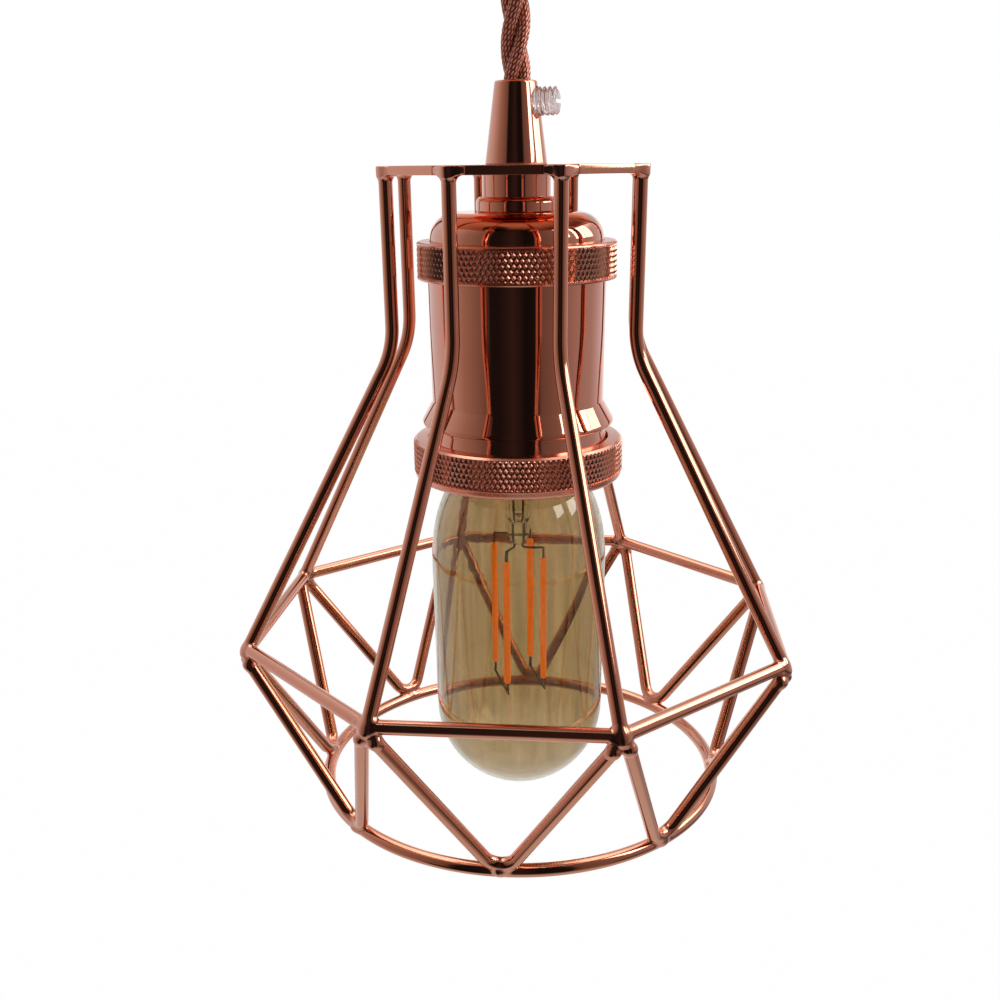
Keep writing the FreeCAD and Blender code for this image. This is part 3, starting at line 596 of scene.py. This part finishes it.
def guard_wire(name, line, node, closed=False):
    """Round wire of the guard along a line."""
    around = 36
    count = len(line)
    verts, faces = [], []
    side = None
    for k, p in enumerate(line):
        if closed:
            along = (line[(k + 1) % count] - line[k - 1]).normalized()
        else:
            along = (line[min(k + 1, count - 1)] - line[max(k - 1, 0)]).normalized()
        if side is None:
            side = along.cross(Vector((0, 0, 1)) if abs(along.z) < 0.9 else Vector((1, 0, 0))).normalized()
        side = (side - along * side.dot(along)).normalized()
        up = along.cross(side)
        for j in range(around):
            a = 2 * math.pi * j / around
            verts.append(to_frame(p + (side * math.cos(a) + up * math.sin(a)) * WIRE_R))
    for k in range(count if closed else count - 1):
        here, there = k * around, ((k + 1) % count) * around
        for j in range(around):
            j2 = (j + 1) % around
            faces.append((here + j, here + j2, there + j2, there + j))
    if not closed:
        faces.append(tuple(reversed(range(around))))
        faces.append(tuple(range((count - 1) * around, count * around)))
    obj = new_object(name, verts, faces, MAT["guard_copper"], 40.0)
    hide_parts(node)


def leg_line(i):
    """Plate end, shoulder and ring end of leg i's centre line."""
    deg = vertex_deg(i)
    return [at(LEG_TOP_R, deg, 0), at(SHOULDER_R, deg, SHOULDER_Z), at(MID_R, deg, MID_Z)]


def brace_tip(i):
    """Where brace i's bend lies on the bottom ring."""
    return at(LOW_R + TIP_OUT, i * STEP, LOW_Z + TIP_RISE)


def brace_marks(i):
    """Top, sharp corner and top of brace i's centre line."""
    side = math.degrees(TOP_SIDE / MID_R)
    top0 = at(MID_R - TOP_IN, vertex_deg(i) + side, MID_Z - TOP_DROP)
    top1 = at(MID_R - TOP_IN, vertex_deg(i + 1) - side, MID_Z - TOP_DROP)
    tip = brace_tip(i)
    down = ((top0 + top1) / 2 - tip).normalized()
    half = (top0 - tip).angle(down)
    return [top0, tip - down * (BRACE_BEND / math.sin(half) - BRACE_BEND), top1]


def ring_corner(i, steps):
    """Bent wire of the middle ring at corner i, without its straight runs."""
    ends = [at(MID_R, vertex_deg(i + s), MID_Z) for s in (-1, 0, 1)]
    return bend(ends, MID_BEND, steps)[1:-1]


def make_wires():
    """Legs, braces and both rings."""
    spacing, into_ring, divisions = 6.0, 0.6, 10
    for i in range(1, SIDES + 1):
        guard_wire("leg_%d" % i, dense_line(bend(leg_line(i), SHOULDER_BEND, 20), spacing), "cage_leg_%d" % i)
        top0, corner, top1 = brace_marks(i)
        start = top0 + (top0 - corner).normalized() * into_ring
        end = top1 + (top1 - corner).normalized() * into_ring
        guard_wire("brace_%d" % i, dense_line(bend([start, corner, end], BRACE_BEND, 18), spacing), "cage_brace_%d" % i)
    middle = []
    for i in range(1, SIDES + 1):
        corner, following = ring_corner(i, 10), ring_corner(i + 1, 10)
        middle += corner + [corner[-1].lerp(following[0], j / divisions) for j in range(1, divisions)]
    guard_wire("ring_middle", middle, "cage_middle_ring", True)
    bottom = [at(LOW_R, 360.0 * k / 180, LOW_Z) for k in range(180)]
    guard_wire("ring_bottom", bottom, "cage_bottom_ring", True)


def make_plate():
    """Flat octagon with eased edges, its corners ground flush with the legs and its underside satin."""
    e = 0.14
    # radii other than the hole's are distances from the octagon's edge
    outline = [(HOLE_R, 0.0), (-e, 0.0), (-e * 0.3, -e * 0.3), (0.0, -e), (0.0, -PLATE_T + e),
               (-e * 0.3, -PLATE_T + e * 0.3), (-e, -PLATE_T), (HOLE_R, -PLATE_T)]

    def radius_at(r, deg):
        if r == HOLE_R:
            return r
        face = math.cos(math.radians((deg + STEP / 2) % STEP - STEP / 2))
        corner = math.cos(math.radians(deg % STEP - STEP / 2))
        return min(APOTHEM / face, LEG_TOP_R / corner) + r / face

    plate = lathe("plate_octagon", outline, MAT["guard_copper"], "cage_top_plate", 720, radius_at)
    plate.data.materials.append(MAT["satin_copper"])
    for face in plate.data.polygons:
        face.material_index = 1 if face.normal.z < -0.9 else 0


# Brazed joints: smooth blends of the wires that meet, drawn as the zero surface of a distance field

def smooth_min(a, b, k):
    """The lesser of two fields, with a fillet of about size k where they meet."""
    h = np.maximum(k - np.abs(a - b), 0.0) / k
    return np.minimum(a, b) - h * h * k * 0.25


def segment_distance(p, a, b):
    """Distance of points to a straight wire from a to b."""
    a, b = np.array(a), np.array(b)
    d = b - a
    t = np.clip(((p - a) @ d) / (d @ d), 0, 1)
    return np.linalg.norm(p - a - t[..., None] * d, axis=-1) - WIRE_R


def line_distance(p, line):
    """Distance of points to a wire along a line."""
    return np.minimum.reduce([segment_distance(p, a, b) for a, b in zip(line, line[1:])])


def ball_distance(p, centre, radii):
    """Near enough the distance of points to an ellipsoid."""
    q = (p - np.array(centre)) / np.array(radii)
    return (np.linalg.norm(q, axis=-1) - 1.0) * min(radii)


def lumps(p, seed, size):
    """Smooth seeded unevenness between -1 and 1."""
    rng = np.random.default_rng(seed)
    total = 0.0
    for _ in range(5):
        w = rng.normal(size=3)
        w *= (2 * math.pi / size) / np.linalg.norm(w)
        total = total + np.sin(p @ w + rng.uniform(0, 6.28))
    return total / 5.0


def surface_of(field, low, cell):
    """Vertices and quads of a sampled field's zero surface."""
    inside = field < 0
    nx, ny, nz = field.shape
    total = np.zeros((nx - 1, ny - 1, nz - 1, 3))
    count = np.zeros((nx - 1, ny - 1, nz - 1))
    corner = [(0, 0, 0), (1, 0, 0), (0, 1, 0), (1, 1, 0), (0, 0, 1), (1, 0, 1), (0, 1, 1), (1, 1, 1)]
    edges = [(0, 1), (2, 3), (4, 5), (6, 7), (0, 2), (1, 3), (4, 6), (5, 7), (0, 4), (1, 5), (2, 6), (3, 7)]

    def values_at(c):
        return field[c[0]:nx - 1 + c[0], c[1]:ny - 1 + c[1], c[2]:nz - 1 + c[2]]

    # each cell's vertex is the mean of the places where its edges cross the surface
    for e0, e1 in edges:
        c0, c1 = corner[e0], corner[e1]
        f0, f1 = values_at(c0), values_at(c1)
        cross = (f0 < 0) != (f1 < 0)
        t = np.where(cross, f0 / np.where(cross, f0 - f1, 1.0), 0.0)
        point = np.array(c0) + t[..., None] * (np.array(c1) - np.array(c0))
        total += np.where(cross[..., None], point, 0.0)
        count += cross
    active = count > 0
    index = -np.ones(active.shape, int)
    index[active] = np.arange(active.sum())
    cells = np.argwhere(active)
    verts = np.array(low) + (cells + total[active] / count[active][:, None]) * cell
    # each grid edge that crosses it gives a quad of the four cells round that edge
    faces = []
    for axis in range(3):
        a = np.take(inside, range(0, inside.shape[axis] - 1), axis)
        b = np.take(inside, range(1, inside.shape[axis]), axis)
        u, v = [k for k in range(3) if k != axis]
        for c in np.argwhere(a != b):
            if c[u] == 0 or c[v] == 0 or any(c[k] >= index.shape[k] for k in range(3)):
                continue
            quad = []
            for du, dv in ((0, 0), (-1, 0), (-1, -1), (0, -1)):
                q = c.copy()
                q[u] += du
                q[v] += dv
                quad.append(index[tuple(q)])
            if min(quad) < 0:
                continue
            flip = inside[tuple(c)] != (axis == 1)
            faces.append(tuple(quad) if not flip else tuple(reversed(quad)))
    return verts, faces


def joint(name, centre, reach, shape):
    """One braze: shape(points) is its field, in millimetres about the guard's axis."""
    cell, sunk, outside = 0.24, 0.02, 4.0
    dip_depth, dip_start, dip_length, last = 0.30, reach * 0.52, reach * 0.4, reach * 0.97
    low = np.array(centre) - reach
    n = int(2 * reach / cell) + 2
    grid = np.stack(np.meshgrid(*[low[k] + np.arange(n) * cell for k in range(3)], indexing="ij"), -1)
    # the skin dips under the wires before the block ends, so no edge shows
    away = np.linalg.norm(grid - np.array(centre), axis=-1)
    dip = np.clip((away - dip_start) / dip_length, 0, 1)
    field = shape(grid) + sunk + dip_depth * dip * dip + np.where(away > last, outside, 0.0)
    verts, faces = surface_of(field, low, cell)
    obj = new_object(name, [to_frame(Vector(v)) for v in verts], faces, MAT["braze_copper"], None)
    mod = obj.modifiers.new("even", "SMOOTH")
    mod.factor = 0.5
    mod.iterations = 3


def middle_joint(i):
    """Braze of a leg, the middle ring's corner and two braces, with a drop below the corner."""
    v = at(MID_R, vertex_deg(i), MID_Z)
    out = at(1, vertex_deg(i), 0)
    shoulder = leg_line(i)[1]
    left, right = (at(MID_R, vertex_deg(i + s), MID_Z) for s in (-1, 1))
    ring = [left] + ring_corner(i, 6) + [right]
    before, after = brace_marks(i - 1), brace_marks(i)
    drop, drop_radii, end_radii = v + out * 0.15 + Vector((0, 0, -1.3)), (1.8, 1.8, 1.2), (1.6, 1.6, 1.5)
    leg_fillet, drop_fillet, arm_fillet, uneven = 1.2, 1.1, 0.9, 0.09

    def shape(p):
        d = smooth_min(segment_distance(p, v, shoulder), line_distance(p, ring), leg_fillet)
        d = smooth_min(d, ball_distance(p, drop, drop_radii), drop_fillet)
        for top, corner in ((before[2], before[1]), (after[0], after[1])):
            end = top + (corner - top).normalized() * 0.1 + out * 0.25
            d = smooth_min(d, segment_distance(p, top, corner), arm_fillet)
            d = smooth_min(d, ball_distance(p, end, end_radii), arm_fillet)
        return d + uneven * lumps(p, 40 + i, 3.2)

    joint("braze_middle_%d" % i, v + Vector((0, 0, -1.4)), 7.4, shape)


def low_joint(i):
    """Braze of a brace's bend and the bottom ring."""
    tip = brace_tip(i)
    out = at(1, i * STEP, 0)
    brace = bend(brace_marks(i), BRACE_BEND, 10)
    drop, drop_radii = tip - Vector((0, 0, 1.15)) + out * 0.05, (1.75, 1.75, 1.4)
    ring_fillet, drop_fillet, uneven = 1.0, 0.9, 0.08

    def shape(p):
        ring = np.hypot(np.hypot(p[..., 0], p[..., 1]) - LOW_R, p[..., 2] - LOW_Z) - WIRE_R
        d = smooth_min(line_distance(p, brace), ring, ring_fillet)
        d = smooth_min(d, ball_distance(p, drop, drop_radii), drop_fillet)
        return d + uneven * lumps(p, 70 + i, 3.0)

    joint("braze_low_%d" % i, tip + Vector((0, 0, -0.8)), 6.2, shape)


def top_joint(i):
    """Braze of a leg under the plate's corner."""
    top, shoulder, _ = leg_line(i)
    normals = [at(1, i * STEP, 0), at(1, (i - 1) * STEP, 0)]
    leg_fillet, uneven, under_face = 1.9, 0.05, 0.015

    def shape(p):
        slab = np.abs(p[..., 2] + PLATE_T / 2) - PLATE_T / 2
        for normal in normals:
            slab = np.maximum(slab, p @ np.array(normal) - APOTHEM)
        d = smooth_min(slab, segment_distance(p, top, shoulder), leg_fillet)
        d = d + uneven * lumps(p, 90 + i, 3.0)
        return np.maximum(d, p[..., 2] + under_face)

    joint("braze_top_%d" % i, at(LEG_TOP_R, vertex_deg(i), -1.6), 5.4, shape)


# Filaments

def make_filaments():
    """Blunt coated strips with bare metal tabs at both ends, along the solids' own axes."""
    tab, tab_in, half_w, half_t = 2.6, 0.3, 0.38, 0.14
    full, uneven, flatness, around = 0.93, 0.035, 0.8, 20
    nose_length, end_face = 1.6, 0.15
    nose = [(tab, 0.0), (tab + 0.05, 0.55), (tab + 0.25, 0.80), (tab + 0.6, 0.92), (tab + 1.2, 0.95)]
    for k in range(1, 5):
        node = nodes["bulb_filament_%d" % k]
        co = np.array([node.matrix_world @ v.co for v in node.data.vertices]) * 1000.0
        high, low = co[:, 2].max(), co[:, 2].min()
        top = Vector(co[co[:, 2] > high - end_face].mean(0))
        end = Vector(co[co[:, 2] < low + end_face].mean(0))
        along = (end - top).normalized()
        side = along.cross(Vector((top.x, top.y, 0)).normalized()).normalized()
        face = along.cross(side)
        length = (end - top).length
        rng = np.random.default_rng(5 + k)
        between = np.linspace(tab + nose_length, length - tab - nose_length, 26)
        rings = nose + [(float(d), full + uneven * float(rng.standard_normal())) for d in between]
        rings += [(length - d, r) for d, r in reversed(nose)]
        verts, faces = [], []
        for d, r in rings:
            for j in range(around):
                a = 2 * math.pi * j / around
                q = top + along * d + (side * math.cos(a) * r + face * math.sin(a) * r * flatness)
                verts.append(q * 0.001)
        for i in range(len(rings) - 1):
            for j in range(around):
                a, b = i * around + j, i * around + (j + 1) % around
                faces.append((a, a + around, b + around, b))
        # the coat's material paints a glow onto the unlit filaments
        coat = new_object("filament_coat_%d" % k, verts, faces, MAT["filament_coat"], None)
        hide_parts("bulb_filament_%d" % k)
        verts, faces = [], []
        for d0, d1 in ((0.0, tab + tab_in), (length - tab - tab_in, length)):
            base = len(verts)
            for d in (d0, d1):
                for u, v in ((-half_w, -half_t), (half_w, -half_t), (half_w, half_t), (-half_w, half_t)):
                    verts.append((top + along * d + side * u + face * v) * 0.001)
            for j in range(4):
                faces.append((base + j, base + (j + 1) % 4, base + 4 + (j + 1) % 4, base + 4 + j))
            faces += [(base + 3, base + 2, base + 1, base), (base + 4, base + 5, base + 6, base + 7)]
        tabs = new_object("filament_tabs_%d" % k, verts, faces, MAT["lead_wire"], 30.0)


make_cap()
make_body()
make_filaments()
make_grip("grip_lower", "lower_grip", False)
make_grip("grip_upper", "upper_grip", True)
make_grip_screw("screw_lower", "lower_grip_screw", False)
make_grip_screw("screw_upper", "upper_grip_screw", True)
make_upper_ring()
make_lower_ring()
make_wires()
make_plate()
for i in range(1, SIDES + 1):
    middle_joint(i)
    low_joint(i)
    top_joint(i)


# Cord

def route_points(points):
    """Points on the cord's own NURBS line."""
    curve = bpy.data.curves.new("route", "CURVE")
    curve.dimensions = "3D"
    spline = curve.splines.new("NURBS")
    spline.points.add(len(points) - 1)
    for point, co in zip(spline.points, points):
        point.co = (*co, 1.0)
    spline.order_u = 3
    spline.use_endpoint_u = True
    spline.resolution_u = 40
    obj = bpy.data.objects.new("route", curve)
    scene.collection.objects.link(obj)
    bpy.context.view_layer.update()
    mesh = bpy.data.meshes.new_from_object(obj)
    line = [v.co.copy() for v in mesh.vertices]
    bpy.data.objects.remove(obj)
    bpy.data.curves.remove(curve)
    bpy.data.meshes.remove(mesh)
    return line


def braid_height(p, q):
    """0 between the yarns of a plain braid and 1 on its crests, p and q counted in yarns of the two directions."""
    rise_p, rise_q = math.sin(math.pi * (p % 1.0)), math.sin(math.pi * (q % 1.0))
    over = (int(math.floor(p)) + int(math.floor(q))) % 2 == 0
    upper, lower = (rise_p, rise_q) if over else (rise_q, rise_p)
    return upper ** 0.7 * (0.45 + 0.55 * lower)


def make_cord():
    """Three braided strands twisted round each other, along the taut line between the grips."""
    middle = (CORD_LOW + CORD_HIGH) / 2
    line = route_points([(0, 0, CORD_LOW), (0, 0, middle), (0, 0, CORD_HIGH)])
    strand_r, offset, pitch, start_turn = 0.00158, 0.00186, 0.035, 0.6
    yarns, stitch, relief = 12, 0.0011, 0.14
    around, row_height = 48, 0.00022
    length = CORD_HIGH - CORD_LOW
    rows = int(length / row_height)
    heights = [p.z for p in line]
    verts, faces, shade = [], [], []
    for s in range(3):
        base = len(verts)
        for k in range(rows + 1):
            z = float(np.interp(k / rows, np.linspace(0, 1, len(heights)), heights))
            a = 2 * math.pi * (z / pitch + s / 3.0) + start_turn
            out = Vector((math.cos(a), math.sin(a), 0))
            along = Vector((-math.sin(a) * offset * 2 * math.pi / pitch,
                            math.cos(a) * offset * 2 * math.pi / pitch, 1)).normalized()
            side = along.cross(out)
            centre = out * offset + Vector((0, 0, z))
            v = (z - CORD_LOW) / stitch
            for j in range(around):
                u = j / around
                height = braid_height(yarns * u + v * 0.5, yarns * u - v * 0.5)
                r = strand_r * (1 - relief * (1 - height))
                t = 2 * math.pi * u
                verts.append(centre + (out * math.cos(t) + side * math.sin(t)) * r)
                # the height is also kept as the braid attribute, from which the material paints shade between the yarns
                # and a highlight on the crests
                shade.append(height)
        for k in range(rows):
            for j in range(around):
                a, b = base + k * around + j, base + k * around + (j + 1) % around
                faces.append((a, b, b + around, a + around))
        last = base + rows * around
        faces += [tuple(reversed(range(base, base + around))), tuple(range(last, last + around))]
    cord = new_object("cord_twisted", verts, faces, MAT["cord_fabric"], None)
    values = cord.data.attributes.new("braid", "FLOAT", "POINT")
    values.data.foreach_set("value", np.array(shade, np.float32))
    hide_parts("cord")


make_cord()


# Floor, surroundings and light

def seen_white(n):
    """Light path, and 1 for what the camera sees straight or through glass."""
    path = n.add("ShaderNodeLightPath")
    return path, n.combine("MAXIMUM", path, "Is Camera Ray", path, "Is Transmission Ray")


def make_floor():
    """Pale floor that looks white to the camera but for a trace of shadow, and isn't there for reflections."""
    size, z, white_share = 6.0, -1.05, 0.985
    mesh = bpy.data.meshes.new("floor")
    mesh.from_pydata([(-size, -size, z), (size, -size, z), (size, size, z), (-size, size, z)], [], [(0, 1, 2, 3)])
    floor = bpy.data.objects.new("floor", mesh)
    scene.collection.objects.link(floor)
    n = Nodes(bpy.data.materials.new("floor_pale"))
    path, seen = seen_white(n)
    share = n.add("ShaderNodeMath", operation="MULTIPLY")
    n.link(seen, "Value", share, 0)
    share.inputs[1].default_value = white_share
    diffuse = n.add("ShaderNodeBsdfDiffuse")
    ramp = n.ramp(n.noise(3.0), "Fac", [(0.3, 0.80), (0.7, 0.84)])
    n.link(ramp, "Color", diffuse, "Color")
    white = n.add("ShaderNodeEmission")
    white.inputs["Strength"].default_value = 1.0
    surface = n.mix_shaders(share, "Value", diffuse, white)
    surface = n.mix_shaders(path, "Is Glossy Ray", surface, n.add("ShaderNodeBsdfTransparent"))
    n.link(surface, 0, n.out, "Surface")
    mesh.materials.append(n.owner)


def make_world():
    """White for the camera, and for the polished metal a small room: walls from nearly dark in front to white behind,
    a grey table beneath, a pale wall round the window on the right and a bright ceiling."""
    world = bpy.data.worlds.new("studio")
    scene.world = world
    n = Nodes(world, "ShaderNodeOutputWorld")
    coord = n.add("ShaderNodeTexCoord")
    split = n.add("ShaderNodeSeparateXYZ")
    n.link(coord, "Generated", split, "Vector")
    angle = n.combine("ARCTAN2", split, "X", split, "Y")
    turn = n.remap(angle, "Value", 0.0, 1.0, -math.pi, math.pi)

    def smooth(source, out, low, high):
        """Share that rises smoothly from 0 to 1 between two values."""
        node = n.add("ShaderNodeMapRange", interpolation_type="SMOOTHSTEP")
        node.inputs["From Min"].default_value = low
        node.inputs["From Max"].default_value = high
        n.link(source, out, node, "Value")
        return node

    def spot(direction, low, high):
        """Share round a direction, from the cosine to it."""
        node = n.add("ShaderNodeVectorMath", operation="DOT_PRODUCT")
        n.link(coord, "Generated", node, 0)
        node.inputs[1].default_value = Vector(direction).normalized()
        return smooth(node, "Value", low, high)

    def both(a, b):
        return n.combine("MULTIPLY", a, 0, b, 0)

    # the walls: position 0 and 1 are the front, 0.25 the left, 0.5 the back and 0.75 the right
    night, dusk = (0.012, 0.010, 0.010), (0.03, 0.02, 0.02)
    room = n.ramp(turn, "Result", [
        (0.0, dusk), (0.05, night), (0.085, night), (0.095, (0.15, 0.10, 0.085)),
        (0.19, (0.33, 0.25, 0.22)), (0.28, (0.56, 0.52, 0.56)), (0.40, (0.65, 0.74, 0.84)),
        (0.45, 0.95), (0.55, 0.90), (0.60, (0.62, 0.63, 0.72)),
        (0.675, (0.40, 0.36, 0.38)), (0.76, (0.35, 0.29, 0.30)), (0.835, (0.22, 0.15, 0.13)),
        (0.90, (0.14, 0.10, 0.09)), (0.912, night), (0.955, (0.008, 0.007, 0.007)), (1.0, dusk)])

    # from the right to the back the room is dimmer below the lamp
    right = n.ramp(turn, "Result", [(0.0, 0.0), (0.51, 0.0), (0.56, 0.5), (0.61, 0.6), (0.65, 1.0), (0.83, 1.0),
                                    (0.86, 0.0)])
    room = n.blend(both(right, smooth(split, "Z", -0.26, -0.38)), room, 0, (0.30, 0.28, 0.27), "MULTIPLY")
    # the table beneath, with a shade in front and to the left
    room = n.blend(smooth(split, "Z", -0.48, -0.95), room, 2, (0.53, 0.53, 0.53))
    room = n.blend(spot((-0.40, -0.68, -0.62), 0.93, 0.98), room, 2, (0.12, 0.11, 0.11), "MULTIPLY")
    # the back wall is dimmer above the lamp
    upper_back = both(smooth(split, "Z", 0.12, 0.25), smooth(split, "Y", 0.70, 0.85))
    room = n.blend(upper_back, room, 2, (0.58, 0.62, 0.68), "MULTIPLY")
    # the pale wall round the window
    beside = n.ramp(turn, "Result", [(0.0, 0.0), (0.578, 0.0), (0.59, 1.0), (0.665, 1.0), (0.675, 0.0), (1.0, 0.0)])
    wall = both(both(beside, smooth(split, "Z", 0.35, 0.55)), smooth(split, "Z", 0.80, 0.70))
    room = n.blend(wall, room, 2, (1.3, 1.28, 1.25))
    # the bright ceiling, in shade right above the lamp
    room = n.blend(spot((-0.12, 0.16, 0.98), 0.77, 0.92), room, 2, (1.95, 1.92, 1.86))
    room = n.blend(spot((0.0, -0.08, 1.0), 0.93, 0.965), room, 2, (0.20, 0.17, 0.15))

    path, seen = seen_white(n)
    mirrored = n.add("ShaderNodeBackground")
    n.link(room, 2, mirrored, "Color")
    even, white = n.add("ShaderNodeBackground"), n.add("ShaderNodeBackground")
    even.inputs["Color"].default_value = (0.85, 0.85, 0.85, 1)
    white.inputs["Color"].default_value = (1, 1, 1, 1)
    soft = n.mix_shaders(path, "Is Diffuse Ray", mirrored, even)
    n.link(n.mix_shaders(seen, 0, soft, white), 0, n.out, "Surface")


def window(name, y0, y1, z0, radiance):
    """Bright upright pane to the right of the lamp, between two places along Y and from z0 up."""
    x, z1 = 0.5, 0.60
    data = bpy.data.lights.new(name, "AREA")
    data.shape = "RECTANGLE"
    data.size, data.size_y = y1 - y0, z1 - z0
    data.energy = radiance * math.pi * (y1 - y0) * (z1 - z0)
    obj = bpy.data.objects.new(name, data)
    scene.collection.objects.link(obj)
    obj.location = (x, (y0 + y1) / 2, (z0 + z1) / 2)
    # the lamp shines along its own -Z, so +Z points away from the object and Y stays up
    obj.rotation_mode = "QUATERNION"
    obj.rotation_quaternion = Matrix(((0, 0, 1), (1, 0, 0), (0, 1, 0))).to_quaternion()
    obj.visible_camera = False


make_floor()
make_world()
window("window_narrow", -0.245, -0.106, 0.03, 4.2)
window("window_wide", -0.02, 0.13, -0.04, 4.2)
window("window_far", 0.14, 0.32, -0.04, 2.4)

scene.view_settings.view_transform = "Standard"
